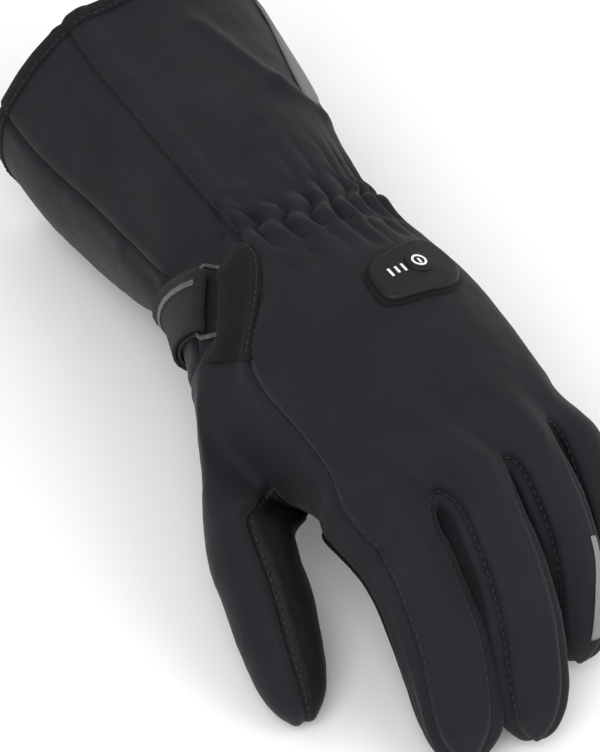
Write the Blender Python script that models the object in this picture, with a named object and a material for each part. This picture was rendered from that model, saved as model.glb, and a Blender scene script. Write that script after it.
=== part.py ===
"""Heated winter glove for a left hand, standing on its cuff, thumb tip and fingertips.

Lengths in the tables are millimetres. X runs from the cuff to the fingers, Y from the
thumb to the little finger, Z up through the back of the hand.
"""
import math

import bpy
import numpy as np
from mathutils import Vector
from mathutils.bvhtree import BVHTree

MM = 0.001

# Shell
WALL = 3.4
SEAM_GAP = 0.3
TIGHT_WALL_SHARE = 0.38
TIGHT_REACH = 13.0
SPIKE_SHIFT = 3.5
NOTCH_SHIFT = 1.0
CORNER_PULL = 0.8
CORNER_TURN = 1.85
FOLDED_TURN = 0.7
LEAST_TURN = 0.4

# Sewn-on pieces: clearance over the shell, and thickness of a thin one
SEAT = 0.6
SHEET = 0.9
STACK_GAP = 0.4
BENT_SEAT = 1.1

# Folded edging of the cuff
BINDING_LEG = 6.0
BINDING_THICK = 1.1
BINDING_GAP = 0.45

# Wrist strap and its wire loop
STRAP_THICK = 1.2
STRAP_OVERLAP = 46.0
STRAP_FALL = (3.2, 1.5)
FREE_STEPS = 8
UNDER_STEPS = 14
TURN_STEPS = 6
WIRE_RADIUS = 1.0
LOOP_CORNER = 3.0
WIRE_CLEARANCE = 0.88
SIDE_PANEL_RISE = (0.0, 0.0, 0.45, 1.0, 1.0)
STRIPE_EDGES = (0.05, 0.19)
STRIPE_THICK = 0.5
STRIPE_GAP = 0.6
STRAP_UPPER = (
    (-8.0, -20.0, 26.0),
    (-6.0, -35.0, 34.0),
    (-4.0, -42.0, 45.0),
    (-0.5, -44.5, 56.6),
    (4.9, -42.4, 67.1),
    (15.8, -36.8, 77.3),
)
STRAP_LOWER = (
    (15.0, -20.0, 27.5),
    (17.0, -36.0, 33.0),
    (20.0, -46.0, 43.0),
    (24.0, -50.0, 53.0),
    (29.0, -51.5, 63.0),
    (36.0, -51.0, 73.0),
)
LOOP_FAR_UPPER = (24.0, -31.5, 84.8)
LOOP_FAR_LOWER = (45.6, -47.4, 80.8)

# Edges of the sewn-on pieces: points x, y, z laid on the shell
SIDE_PANEL_RIGHT = (
    (20.5, -20.7, 88.6),
    (30.0, -21.6, 89.3),
    (41.5, -28.6, 89.0),
    (51.2, -36.4, 87.0),
    (64.3, -46.8, 83.0),
)
SIDE_PANEL_LEFT = (
    (19.0, -23.5, 87.6),
    (22.3, -33.3, 82.9),
    (32.0, -39.8, 82.4),
    (45.9, -49.7, 78.4),
    (48.5, -54.5, 71.5),
)
CUFF_INSERT_UPPER = (
    (-111.0, 64.5, 75.0),
    (-94.0, 61.0, 74.7),
    (-75.5, 54.7, 77.6),
    (-56.7, 48.0, 81.2),
    (-40.3, 43.1, 82.7),
)
CUFF_INSERT_LOWER = (
    (-111.0, 71.5, 50.0),
    (-94.0, 69.5, 53.0),
    (-75.5, 64.0, 58.0),
    (-56.7, 57.0, 66.0),
    (-40.3, 47.5, 77.0),
)
FINGER_STRIP_NEAR = ((168.0, 20.0, 50.0), (173.0, 19.0, 44.6), (180.7, 14.3, 33.6), (186.0, 9.7, 21.1))
FINGER_STRIP_WIDTH = (0.9, 4.4, -0.6)

# Heating control on the back of the hand: corners x, y and heights over the shell
PAD_CORNERS = ((56.0, 3.2), (46.9, 35.5), (64.5, 39.5), (75.2, 29.5), (74.8, 1.2))
PAD_ROUND = 5.0
PAD_POINTS = 22
FRAME_SPREAD = 1.14
FRAME_SEAT = 1.2
FRAME_THICK = 0.8
FRAME_RINGS = (1.0, 0.7, 0.35)
PAD_THICK = 1.9
PAD_RINGS = (1.0, 0.92, 0.6, 0.3)
PAD_SHOULDER = 0.55
BUTTON_PLACE = (61.8, 23.4)
BUTTON_RADIUS = 5.2
BUTTON_RISE = 0.8
BUTTON_RINGS = (1.0, 0.86)
BUTTON_SHOULDER = 0.5
MARK_GAP = 0.18
MARK_THICK = 0.3
MARK_RING = (2.8, 2.0)
MARK_STEM = (2.4, 0.8)
MARK_STEM_SHIFT = 0.3
LEVEL_BARS = ((63.2, 10.6, 3.9), (62.9, 13.5, 3.2), (62.6, 16.4, 3.7))
BAR_WIDTH = 0.9
REST_X = -78.0
REST_Y = 9.0

# Ring points: 0-8 over the back, 9 little finger edge, 10-18 over the palm, 19-20 thumb edge
BACK_LAST = 8
EDGE = 9
PALM_FIRST = 10
PALM_LAST = 18
SIDE_LOW = 19
SIDE_HIGH = 20
RING = 21

# x, centre y, centre z, half width, height above centre, depth below centre, lean of the ring
SECTIONS = (
    (-120.5, 14.0, 50.0, 59.0, 45.5, 46.0, 0.03),
    (-108.0, 13.0, 48.5, 58.5, 45.5, 49.0, 0.03),
    (-86.0, 10.5, 48.5, 56.5, 44.5, 50.0, 0.05),
    (-60.0, 8.0, 51.0, 52.5, 42.5, 52.0, 0.08),
    (-34.0, 4.0, 54.5, 48.5, 39.5, 47.0, 0.12),
    (-10.0, 0.5, 57.0, 45.5, 35.0, 36.0, 0.20),
    (2.0, 0.0, 58.0, 43.5, 31.5, 31.5, 0.25),
    (14.0, -1.5, 59.0, 44.5, 31.5, 31.0, 0.25),
    (40.0, -5.0, 58.5, 51.5, 33.0, 32.0, 0.20),
    (62.0, -6.0, 58.0, 55.5, 33.0, 32.0, 0.08),
    (92.0, -5.0, 57.5, 52.0, 31.0, 29.0, 0.0),
    (113.0, -3.5, 57.0, 48.5, 28.5, 24.0, 0.0),
)
SQUARENESS = 2.3

# Angles in degrees round each section: point 0, 8, 9, 10, 18, 19, 20
SECTION_ANGLES = (
    (116.0, 22.0, -5.0, -32.0, 235.0, 205.0, 167.0),
    (116.0, 22.0, -5.0, -32.0, 235.0, 205.0, 167.0),
    (116.0, 22.0, -5.0, -32.0, 235.0, 205.0, 167.0),
    (117.0, 22.0, -5.0, -32.0, 235.0, 205.0, 167.0),
    (117.0, 22.0, -5.0, -32.0, 235.0, 205.0, 167.0),
    (115.0, 22.0, -5.0, -32.0, 232.0, 202.0, 165.0),
    (114.0, 22.0, -5.0, -32.0, 230.0, 200.0, 162.0),
    (113.0, 22.0, -5.0, -32.0, 228.0, 200.0, 160.0),
    (118.0, 22.0, -5.0, -32.0, 228.0, 202.0, 166.0),
    (136.0, 22.0, -5.0, -32.0, 228.0, 206.0, 176.0),
    (145.0, 24.0, -3.0, -30.0, 223.0, 206.0, 187.0),
    (154.0, 26.0, -1.0, -28.0, 214.0, 198.0, 180.0),
)

# Knuckle line, where the fingers part: point number, x, y, z
ROOT_BACK = (
    (0, 127.0, -51.5, 66.0),
    (1, 132.0, -38.0, 77.0),
    (2, 139.0, -22.0, 69.5),
    (3, 139.5, -8.5, 82.0),
    (4, 140.0, 4.5, 71.5),
    (5, 137.0, 16.0, 80.0),
    (6, 134.5, 26.8, 71.5),
    (7, 127.5, 35.0, 73.0),
    (8, 121.0, 42.5, 64.0),
)
ROOT_EDGE = (119.0, 45.5, 53.0)
ROOT_PALM = (
    (10, 118.0, 43.5, 43.0),
    (11, 119.0, 37.0, 36.0),
    (12, 119.0, 27.5, 38.0),
    (13, 122.0, 15.0, 33.0),
    (14, 123.0, 3.5, 37.0),
    (15, 124.0, -9.0, 33.0),
    (16, 122.0, -22.0, 38.0),
    (17, 121.0, -36.0, 36.0),
    (18, 118.0, -49.0, 42.0),
)
ROOT_THUMB_EDGE = ((19, 122.0, -54.0, 50.0), (20, 124.0, -54.5, 58.5))
WEBS = ((137.0, -24.0, 54.5), (135.5, 4.3, 56.5), (129.5, 27.4, 55.0))

# Index, middle, ring and little finger: centre x, y, z, half width and half height of each
# ring; last the tip
FINGERS = (
    ((
        (145.0, -39.3, 54.0, 15.0, 15.8),
        (161.0, -39.8, 42.0, 14.8, 14.8),
        (176.0, -41.8, 28.0, 14.2, 13.8),
        (189.0, -46.0, 15.0, 11.6, 11.0),
    ), (197.0, -49.0, 4.5)),
    ((
        (151.0, -9.8, 56.0, 13.6, 15.8),
        (167.0, -11.4, 44.0, 13.5, 14.8),
        (181.0, -14.6, 31.0, 13.2, 13.8),
        (194.0, -19.5, 17.0, 11.0, 11.0),
    ), (202.5, -24.0, 5.0)),
    ((
        (144.0, 16.6, 56.0, 11.4, 14.6),
        (158.0, 16.4, 43.0, 11.2, 13.8),
        (169.0, 14.4, 29.0, 11.0, 12.8),
        (177.5, 11.2, 16.0, 10.0, 10.2),
    ), (183.0, 8.5, 5.0)),
    ((
        (131.0, 38.6, 52.0, 10.6, 13.2),
        (144.0, 39.2, 40.0, 10.2, 12.4),
        (155.0, 38.0, 27.0, 10.1, 11.8),
        (164.0, 35.5, 14.5, 9.4, 9.8),
    ), (170.0, 33.5, 4.5)),
)

# Angles in degrees round a finger's rings, the index finger's with its thumb side seam
FINGER_ANGLES = (140.0, 90.0, 40.0, 0.0, -42.0, -90.0, -138.0, 180.0)
INDEX_ANGLES = (140.0, 90.0, 40.0, 0.0, -42.0, -90.0, -138.0, -168.0, 170.0)

# Thumb: centre x, y, z, then half width and half thickness of each ring
THUMB_HOLE = (8, 10)
THUMB_RINGS = (
    (99.0, -70.0, 38.0, 15.4, 16.0),
    (113.0, -73.8, 32.0, 15.2, 15.2),
    (126.0, -77.0, 25.0, 14.6, 14.4),
    (139.0, -80.2, 16.5, 12.8, 12.6),
    (148.5, -82.0, 9.5, 8.8, 9.0),
)
THUMB_TIP = (153.5, -83.0, 4.5)
THUMB_AIM = (0.82, -0.46, -0.30)
THUMB_TURN = 50.0
THUMB_ANGLES = (135.0, 90.0, 45.0, 0.0, -45.0, -90.0, -135.0, 180.0)
THUMB_BASE_SHARE = 0.55

# Front of the thumb opening: point number, x, y, z
HOLE_FRONT = ((18, 91.0, -40.0, 28.0), (19, 94.0, -46.5, 36.5), (20, 90.0, -56.0, 47.0))

# Gathers over the back of the wrist, one to each ring point: ring, middle x, reach, depth, lean
GATHER_RING = 7
GATHER_X = 7.0
GATHER_REACH = 13.0
GATHER_DEPTH = 0.9
GATHER_LEAN = 0.25

# Folds: start x y z, end x y z, rise and half width
FOLDS = (
    ((-89.4, 27.9, 91.9), (-47.8, 35.2, 88.7), 1.1, 7.0),
    ((-47.8, 35.2, 88.7), (-35.0, 46.4, 78.0), 0.9, 7.0),
    ((-16.0, 5.8, 93.3), (9.0, -14.3, 88.4), -1.1, 7.0),
    ((-60.0, -33.0, 84.0), (-20.0, -41.0, 72.0), -0.7, 8.0),
    ((96.0, -2.0, 88.0), (128.0, -20.0, 78.0), 0.6, 8.0),
)

WRIST_RING = 8
FIT_ROUNDS = 6
PANEL_LEVEL = 1
CURVE_STEPS = 24
DROP_HEIGHT = 300.0


def unit(v):
    return v / np.linalg.norm(v)


def section_point(row, angle):
    x, yc, zc, half, above, below, lean = row
    c = math.cos(math.radians(angle))
    s = math.sin(math.radians(angle))
    power = 2.0 / SQUARENESS
    y = half * math.copysign(abs(c) ** power, c)
    z = (above if s > 0.0 else below) * math.copysign(abs(s) ** power, s)
    return (x + lean * z, yc + y, zc + z)


def spread_angles(keys):
    first, last, edge, palm_first, palm_last, low, high = keys
    back = [first + (last - first) * i / BACK_LAST for i in range(BACK_LAST + 1)]
    count = PALM_LAST - PALM_FIRST
    start = palm_first + 360.0
    palm = [start + (palm_last - start) * i / count for i in range(count + 1)]
    return back + [edge] + palm + [low, high]


def build_cage():
    """Control points of the whole glove skin, its faces and the panel each face belongs to."""
    points = []
    faces = []
    tags = []

    def add(p):
        points.append(tuple(float(c) for c in p))
        return len(points) - 1

    rings = []
    for row, keys in zip(SECTIONS, SECTION_ANGLES):
        rings.append([add(section_point(row, a)) for a in spread_angles(keys)])
    for number, x, y, z in HOLE_FRONT:
        points[rings[THUMB_HOLE[1]][number]] = (x, y, z)
    root = {}
    for table in (ROOT_BACK, ROOT_PALM, ROOT_THUMB_EDGE):
        for number, x, y, z in table:
            root[number] = add((x, y, z))
    root[EDGE] = add(ROOT_EDGE)
    rings.append([root[i] for i in range(RING)])
    webs = [add(w) for w in WEBS]

    hole_start, hole_end = THUMB_HOLE
    for r in range(len(rings) - 1):
        for j in range(RING):
            if hole_start <= r < hole_end and j in (PALM_LAST, SIDE_LOW):
                continue
            k = (j + 1) % RING
            faces.append((rings[r][j], rings[r][k], rings[r + 1][k], rings[r + 1][j]))
            cuff = r < WRIST_RING
            if j < BACK_LAST:
                tags.append("back_panel")
            elif j == BACK_LAST:
                tags.append("cuff_under_panel" if cuff else "back_panel")
            elif j == SIDE_HIGH:
                tags.append("cuff_side_panel" if cuff else "thumb_side_panel")
            elif j == SIDE_LOW and not cuff:
                tags.append("thumb_side_panel")
            else:
                tags.append("cuff_under_panel" if cuff else "palm_panel")

    for i, (table, tip) in enumerate(FINGERS):
        loop = [root[2 * i], root[2 * i + 1], root[2 * i + 2]]
        loop.append(webs[i] if i < len(webs) else root[EDGE])
        loop += [root[16 - 2 * i], root[17 - 2 * i], root[18 - 2 * i]]
        left = "fourchette_%d" % i
        right = "fourchette_%d" % (i + 1)
        if i == 0:
            loop += [root[SIDE_LOW], root[SIDE_HIGH]]
            angles = INDEX_ANGLES
            kinds = ["back_panel", "back_panel", right, right, "palm_panel", "palm_panel",
                     "palm_panel", "thumb_side_panel", "thumb_side_panel"]
            caps = ((0, 1, 2), (2, 3, 4), (4, 5, 6), (6, 7), (7, 8, 0))
        else:
            loop.append(webs[i - 1])
            angles = FINGER_ANGLES
            kinds = ["back_panel", "back_panel", right, right, "palm_panel", "palm_panel",
                     left, left]
            if i == len(FINGERS) - 1:
                kinds[2] = "back_panel"
                kinds[3] = "palm_panel"
            caps = ((0, 1, 2), (2, 3, 4), (4, 5, 6), (6, 7, 0))
        previous = loop
        knuckle = np.mean([points[v] for v in loop], axis=0)
        stations = [knuckle] + [np.array(row[:3]) for row in table] + [np.array(tip)]
        for n, (x, y, z, half_w, half_h) in enumerate(table):
            ahead = unit(stations[n + 2] - stations[n])
            ring = finger_ring(stations[n + 1], ahead, half_w, half_h, angles)
            current = [add(p) for p in ring]
            for j in range(len(current)):
                k = (j + 1) % len(current)
                faces.append((previous[j], previous[k], current[k], current[j]))
                tags.append(kinds[j])
            previous = current
        centre = add(tip)
        for corner in caps:
            faces.append(tuple([centre] + [previous[c] for c in corner]))
            tags.append(kinds[corner[0]])

    a, b = hole_start, hole_end
    m = a + 1
    loop = [rings[a][SIDE_HIGH], rings[m][SIDE_HIGH], rings[b][SIDE_HIGH], rings[b][SIDE_LOW],
            rings[b][PALM_LAST], rings[m][PALM_LAST], rings[a][PALM_LAST], rings[a][SIDE_LOW]]
    kinds = ["thumb_side_panel", "thumb_side_panel", "thumb_palm_panel", "thumb_palm_panel",
             "thumb_palm_panel", "thumb_palm_panel", "thumb_side_panel", "thumb_side_panel"]
    previous = loop
    stations = [np.array(row[:3]) for row in THUMB_RINGS] + [np.array(THUMB_TIP)]
    for i, (x, y, z, half_w, half_t) in enumerate(THUMB_RINGS):
        ahead = stations[i + 1] - stations[i - 1] if i else np.array(THUMB_AIM)
        shape = thumb_ring(stations[i], unit(ahead), half_w, half_t)
        if i == 0:
            base = [np.array(points[v]) for v in loop]
            share = THUMB_BASE_SHARE
            middle = [add(p * (1.0 - share) + q * share) for p, q in zip(base, shape)]
            for j in range(8):
                k = (j + 1) % 8
                faces.append((previous[j], previous[k], middle[k], middle[j]))
                tags.append(kinds[j])
            previous = middle
        current = [add(p) for p in shape]
        for j in range(8):
            k = (j + 1) % 8
            faces.append((previous[j], previous[k], current[k], current[j]))
            tags.append(kinds[j])
        previous = current
    centre = add(THUMB_TIP)
    for corner in ((0, 1, 2), (2, 3, 4), (4, 5, 6), (6, 7, 0)):
        faces.append(tuple([centre] + [previous[c] for c in corner]))
        tags.append(kinds[corner[0]])
    outward = [f[::-1] for f in faces]
    return np.array(points), outward, tags


def finger_ring(centre, ahead, half_w, half_h, angles):
    side = unit(np.cross((0.0, 0.0, 1.0), ahead))
    up = np.cross(ahead, side)
    out = []
    for a in angles:
        t = math.radians(a)
        out.append(centre + side * half_w * math.cos(t) + up * half_h * math.sin(t))
    return out


def thumb_ring(centre, ahead, half_w, half_t):
    up = unit(np.array((0.0, 0.0, 1.0)) - ahead * ahead[2])
    inner = unit(np.cross(up, ahead))
    turn = math.radians(THUMB_TURN)
    out = []
    for a in THUMB_ANGLES:
        t = math.radians(a) + turn
        out.append(centre + inner * half_w * math.cos(t) + up * half_t * math.sin(t))
    return out


def subdivide(points, faces, tags):
    """One round of Catmull-Clark; the first points of the result are the old ones."""
    count = len(points)
    centres = np.array([points[list(f)].mean(axis=0) for f in faces])
    edges = {}
    for i, f in enumerate(faces):
        for a, b in zip(f, f[1:] + f[:1]):
            edges.setdefault((min(a, b), max(a, b)), []).append(i)
    keys = list(edges)
    face_sum = np.zeros((count, 3))
    face_n = np.zeros(count)
    for i, f in enumerate(faces):
        for v in f:
            face_sum[v] += centres[i]
            face_n[v] += 1
    mid_sum = np.zeros((count, 3))
    mid_n = np.zeros(count)
    rim_sum = np.zeros((count, 3))
    rim_n = np.zeros(count)
    edge_points = np.zeros((len(keys), 3))
    for e, (a, b) in enumerate(keys):
        mid = (points[a] + points[b]) / 2.0
        near = edges[keys[e]]
        if len(near) == 2:
            edge_points[e] = (points[a] + points[b] + centres[near[0]] + centres[near[1]]) / 4.0
        else:
            edge_points[e] = mid
            rim_sum[a] += points[b]
            rim_sum[b] += points[a]
            rim_n[a] += 1
            rim_n[b] += 1
        for v in (a, b):
            mid_sum[v] += mid
            mid_n[v] += 1
    moved = np.array(points)
    for v in range(count):
        if face_n[v] == 0:
            continue
        if rim_n[v]:
            moved[v] = 0.75 * points[v] + 0.125 * rim_sum[v]
        else:
            n = mid_n[v]
            q = face_sum[v] / face_n[v]
            r = mid_sum[v] / n
            moved[v] = (q + 2.0 * r + (n - 3.0) * points[v]) / n
    place = {key: count + e for e, key in enumerate(keys)}
    base = count + len(keys)
    new_faces = []
    new_tags = []
    for i, f in enumerate(faces):
        size = len(f)
        for j in range(size):
            v = f[j]
            after = f[(j + 1) % size]
            before = f[j - 1]
            e1 = place[(min(v, after), max(v, after))]
            e0 = place[(min(v, before), max(v, before))]
            new_faces.append((v, e1, base + i, e0))
            new_tags.append(tags[i])
    return np.vstack((moved, edge_points, centres)), new_faces, new_tags


def fitted_cage():
    """Move the control points until the smooth skin passes through the points of the tables."""
    target, faces, tags = build_cage()
    cage = np.array(target)
    for _ in range(FIT_ROUNDS):
        p, f, t = subdivide(cage, faces, tags)
        p, f, t = subdivide(p, f, t)
        cage += target - p[:len(target)]
    return cage, faces, tags


def vertex_normals(points, faces):
    out = np.zeros((len(points), 3))
    for f in faces:
        a, b, c, d = (points[v] for v in f)
        n = np.cross(c - a, d - b)
        for v in f:
            out[v] += n
    lengths = np.linalg.norm(out, axis=1)
    lengths[lengths == 0.0] = 1.0
    return out / lengths[:, None]


def segment_distance(points, start, end):
    """Distance of each point to a straight stretch."""
    a, b = np.array(start), np.array(end)
    share = np.clip((points - a) @ (b - a) / ((b - a) @ (b - a)), 0.0, 1.0)
    return np.linalg.norm(points - a - share[:, None] * (b - a), axis=1)


def wrist_turn(points):
    """Place round the back of the wrist, counted in its ring points from the thumb side seam."""
    row = SECTIONS[GATHER_RING]
    angles = spread_angles(SECTION_ANGLES[GATHER_RING])[:EDGE + 1]
    ring = np.array([section_point(row, a) for a in angles])
    bearings = [np.arctan2(p[:, 1] - row[1], p[:, 2] - row[2]) for p in (ring, points)]
    return np.interp(bearings[1], bearings[0], np.arange(EDGE + 1))


def rises(points):
    """Height of the gathers and folds over the smooth skin."""
    turn = wrist_turn(points)
    lean = GATHER_LEAN * (points[:, 2] - SECTIONS[GATHER_RING][2])
    away = (points[:, 0] - lean - GATHER_X) / GATHER_REACH
    fade = np.clip(turn, 0.0, 1.0) * np.clip(EDGE - turn, 0.0, 1.0)
    out = GATHER_DEPTH * fade * np.exp(-away ** 2) * np.cos(2.0 * math.pi * turn)
    for start, end, rise, half in FOLDS:
        out += rise * np.exp(-(segment_distance(points, start, end) / half) ** 2)
    return out


def skin(level):
    points, faces, tags = fitted_cage()
    for _ in range(level):
        points, faces, tags = subdivide(points, faces, tags)
    points = np.array(points)
    points += vertex_normals(points, faces) * rises(points)[:, None]
    points[:, 2] = np.maximum(points[:, 2], 0.0)
    return points, faces, tags


def slab_faces(rows, cols, offset_top, closed=False):
    """Faces of a closed slab made from two grids of points, the top one first."""
    faces = []
    last = rows if closed else rows - 1
    for i in range(last):
        k = (i + 1) % rows
        for j in range(cols - 1):
            a = i * cols + j
            b = k * cols + j
            faces.append((a, b, b + 1, a + 1))
            faces.append((a + offset_top, a + 1 + offset_top, b + 1 + offset_top, b + offset_top))
        for j, flip in ((0, False), (cols - 1, True)):
            a = i * cols + j
            b = k * cols + j
            side = (b, a, a + offset_top, b + offset_top)
            faces.append(side[::-1] if flip else side)
    if not closed:
        for j in range(cols - 1):
            a = j
            faces.append((a, a + 1, a + 1 + offset_top, a + offset_top))
            b = (rows - 1) * cols + j
            faces.append((b + 1, b, b + offset_top, b + 1 + offset_top))
    return faces


def signed_volume(points, faces):
    total = 0.0
    for f in faces:
        for i in range(1, len(f) - 1):
            total += np.dot(points[f[0]], np.cross(points[f[i]], points[f[i + 1]]))
    return total / 6.0


def add_object(name, points, faces, material, smooth=True):
    points = np.asarray(points, float)
    if signed_volume(points, faces) < 0.0:
        faces = [tuple(reversed(f)) for f in faces]
    points[:, 2] = np.maximum(points[:, 2], 0.0)
    place = (points - np.array((REST_X, REST_Y, 0.0))) * MM
    mesh = bpy.data.meshes.new(name)
    mesh.from_pydata([tuple(p) for p in place], [], [tuple(int(v) for v in f) for f in faces])
    mesh.validate()
    for p in mesh.polygons:
        p.use_smooth = smooth
    mesh.materials.append(material)
    obj = bpy.data.objects.new(name, mesh)
    bpy.context.scene.collection.objects.link(obj)
    return obj


def wall_sizes(points):
    """Wall at each point: thinner in the crotches, where the padding ends."""
    tight = np.array([row[1:] for row in HOLE_FRONT] + list(WEBS)
                     + [row[1:] for row in ROOT_BACK if row[0] in (2, 4, 6)]
                     + [row[1:] for row in ROOT_PALM if row[0] in (12, 14, 16)])
    near = np.linalg.norm(points[:, None, :] - tight[None, :, :], axis=2).min(axis=1)
    return WALL * (1.0 - (1.0 - TIGHT_WALL_SHARE) * np.exp(-(near / TIGHT_REACH) ** 2))


def corner_points(faces, tags):
    """Points where three or more panels meet."""
    met = {}
    for f, t in zip(faces, tags):
        for v in f:
            met.setdefault(v, set()).add(t)
    return {v for v, kinds in met.items() if len(kinds) > 2}


def panel_mesh(points, normals, walls, faces, tags, corners, wanted, gap=SEAM_GAP):
    """One sewn panel as a closed solid: outer skin, inner skin and the cut edge between."""
    own = [f for f, t in zip(faces, tags) if t == wanted]
    directed = {}
    around = {}
    around_n = {}
    for f in own:
        centre = np.mean([points[v] for v in f], axis=0)
        for a, b in zip(f, f[1:] + f[:1]):
            directed[(a, b)] = f
            around[a] = around.get(a, 0.0) + centre
            around_n[a] = around_n.get(a, 0) + 1
    border_next = {}
    for a, b in directed:
        if (b, a) not in directed:
            border_next[a] = b
    border_prev = {b: a for a, b in border_next.items()}
    used = sorted({v for f in own for v in f})
    place = {v: i for i, v in enumerate(used)}
    outer = np.array([points[v] for v in used])
    normal = np.array([normals[v] for v in used])
    shift = np.zeros((len(used), 3))
    for v, after in border_next.items():
        before = border_prev[v]
        n = normals[v]
        inward = []
        for a, b in ((before, v), (v, after)):
            side = np.cross(n, points[b] - points[a])
            inward.append(unit(side))
        middle = inward[0] + inward[1]
        size = np.linalg.norm(middle)
        if v in corners and size < CORNER_TURN:
            inside = unit(around[v] / around_n[v] - points[v])
            if inside @ middle > 0.0:
                shift[place[v]] = inside * CORNER_PULL
                continue
        if size < FOLDED_TURN:
            middle = unit(points[before] + points[after] - 2.0 * points[v])
            spike = middle @ (around[v] / around_n[v] - points[v]) > 0.0
            shift[place[v]] = middle * gap * (SPIKE_SHIFT if spike else -NOTCH_SHIFT)
            continue
        middle = middle / size
        shift[place[v]] = middle * (gap / 2.0) / max(LEAST_TURN, float(middle @ inward[0]))
    outer = outer + shift
    thick = np.array([walls[v] for v in used])
    inner = outer - normal * thick[:, None]
    outer[:, 2] = np.maximum(outer[:, 2], 0.0)
    inner[:, 2] = np.maximum(inner[:, 2], thick)
    count = len(used)
    out_faces = [tuple(place[v] for v in f) for f in own]
    out_faces += [tuple(place[v] + count for v in reversed(f)) for f in own]
    for a, b in border_next.items():
        i, j = place[a], place[b]
        if a < b:
            out_faces += [(j, i, j + count), (i, i + count, j + count)]
        else:
            out_faces += [(j, i, i + count), (j, i + count, j + count)]
    return np.vstack((outer, inner)), out_faces


def make_material(name, colour, roughness, metallic=0.0):
    material = bpy.data.materials.new(name)
    material.use_nodes = True
    shader = material.node_tree.nodes["Principled BSDF"]
    shader.inputs["Base Color"].default_value = (*colour, 1.0)
    shader.inputs["Roughness"].default_value = roughness
    shader.inputs["Metallic"].default_value = metallic
    material.diffuse_color = (*colour, 1.0)
    return material


def tree_of(points, faces):
    return BVHTree.FromPolygons([tuple(p) for p in points], [tuple(f) for f in faces])


def smooth_route(route, count):
    """Evenly spaced points on a Catmull-Rom curve through the route's points."""
    knots = np.array(route, float)
    ends = np.vstack((2.0 * knots[0] - knots[1], knots, 2.0 * knots[-1] - knots[-2]))
    fine = []
    for i in range(len(knots) - 1):
        a, b, c, d = ends[i:i + 4]
        for k in range(CURVE_STEPS):
            t = k / CURVE_STEPS
            fine.append(0.5 * (2.0 * b + (c - a) * t + (2.0 * a - 5.0 * b + 4.0 * c - d) * t * t
                               + (3.0 * b - a - 3.0 * c + d) * t ** 3))
    fine.append(knots[-1])
    fine = np.array(fine)
    run = np.concatenate(([0.0], np.cumsum(np.linalg.norm(np.diff(fine, axis=0), axis=1))))
    want = np.linspace(0.0, run[-1], count)
    return np.stack([np.interp(want, run, fine[:, k]) for k in range(3)], axis=1)


def grid_on(tree, grid):
    """The grid's points moved to the nearest places on a surface, and normals of the result."""
    rows, cols = grid.shape[:2]
    base = np.zeros_like(grid)
    facing = np.zeros_like(grid)
    for i in range(rows):
        for j in range(cols):
            place, normal, _, _ = tree.find_nearest(Vector(grid[i, j]))
            base[i, j] = place
            facing[i, j] = normal
    return base, grid_normals(base, facing)


def grid_normals(base, facing):
    along = np.gradient(base, axis=0)
    across = np.gradient(base, axis=1)
    normal = np.cross(along, across)
    normal /= np.linalg.norm(normal, axis=2)[:, :, None]
    flip = np.sign((normal * facing).sum(axis=2))
    flip[flip == 0.0] = 1.0
    return normal * flip[:, :, None]


def slab(base, normal, low, high):
    """Closed sheet between two offsets of a grid."""
    rows, cols = base.shape[:2]
    low = np.broadcast_to(np.asarray(low, float), (rows, cols))
    high = np.broadcast_to(np.asarray(high, float), (rows, cols))
    top = (base + normal * high[:, :, None]).reshape(-1, 3)
    bottom = (base + normal * low[:, :, None]).reshape(-1, 3)
    return np.vstack((top, bottom)), slab_faces(rows, cols, rows * cols)


def strip_between(first, second, rows, shares):
    a = smooth_route(first, rows)
    b = smooth_route(second, rows)
    return np.stack([a * (1.0 - s) + b * s for s in shares], axis=1)


def drop_on(tree, x, y):
    """Place and face normal where a vertical line from above meets a surface."""
    place, normal, _, _ = tree.ray_cast(Vector((x, y, DROP_HEIGHT)), Vector((0.0, 0.0, -1.0)))
    return np.array(place), np.array(normal)


def plate(tree, outline, facing, shares, low, heights):
    """Closed plate on a surface: rings of one outline drawn in towards its middle."""
    outline = np.array(outline, float)
    middle = outline.mean(axis=0)
    count = len(outline)
    top = []
    bottom = []
    for share, height in zip(shares + (0.0,), heights + (heights[-1],)):
        ring = [middle] if share == 0.0 else middle + (outline - middle) * share
        for x, y in ring:
            place = drop_on(tree, x, y)[0]
            top.append(place + facing * height)
            bottom.append(place + facing * low)
    size = len(top)
    faces = []
    for r in range(len(shares) - 1):
        for i in range(count):
            k = (i + 1) % count
            a, b = r * count + i, r * count + k
            c, d = b + count, a + count
            faces += [(a, b, c, d), (d + size, c + size, b + size, a + size)]
    last = (len(shares) - 1) * count
    hub = size - 1
    for i in range(count):
        k = (i + 1) % count
        faces.append((last + i, last + k, hub))
        faces.append((last + k + size, last + i + size, hub + size))
        faces.append((k, i, i + size, k + size))
    return np.vstack((top, bottom)), faces


def ring_plate(tree, centre, facing, outer, inner, low, high, sides=16):
    """Flat ring on a surface."""
    grid = np.zeros((sides, 2, 3))
    for i in range(sides):
        a = 2.0 * math.pi * i / sides
        for j, radius in enumerate((outer, inner)):
            grid[i, j] = drop_on(tree, centre[0] + radius * math.cos(a),
                                 centre[1] + radius * math.sin(a))[0]
    top = (grid + facing * high).reshape(-1, 3)
    bottom = (grid + facing * low).reshape(-1, 3)
    return np.vstack((top, bottom)), slab_faces(sides, 2, sides * 2, closed=True)


def circle(centre, radius, sides=16):
    turn = [2.0 * math.pi * i / sides for i in range(sides)]
    return [(centre[0] + radius * math.cos(a), centre[1] + radius * math.sin(a)) for a in turn]


def box_outline(x, y, length, width):
    return [(x - length / 2.0, y - width / 2.0), (x + length / 2.0, y - width / 2.0),
            (x + length / 2.0, y + width / 2.0), (x - length / 2.0, y + width / 2.0)]


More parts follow.
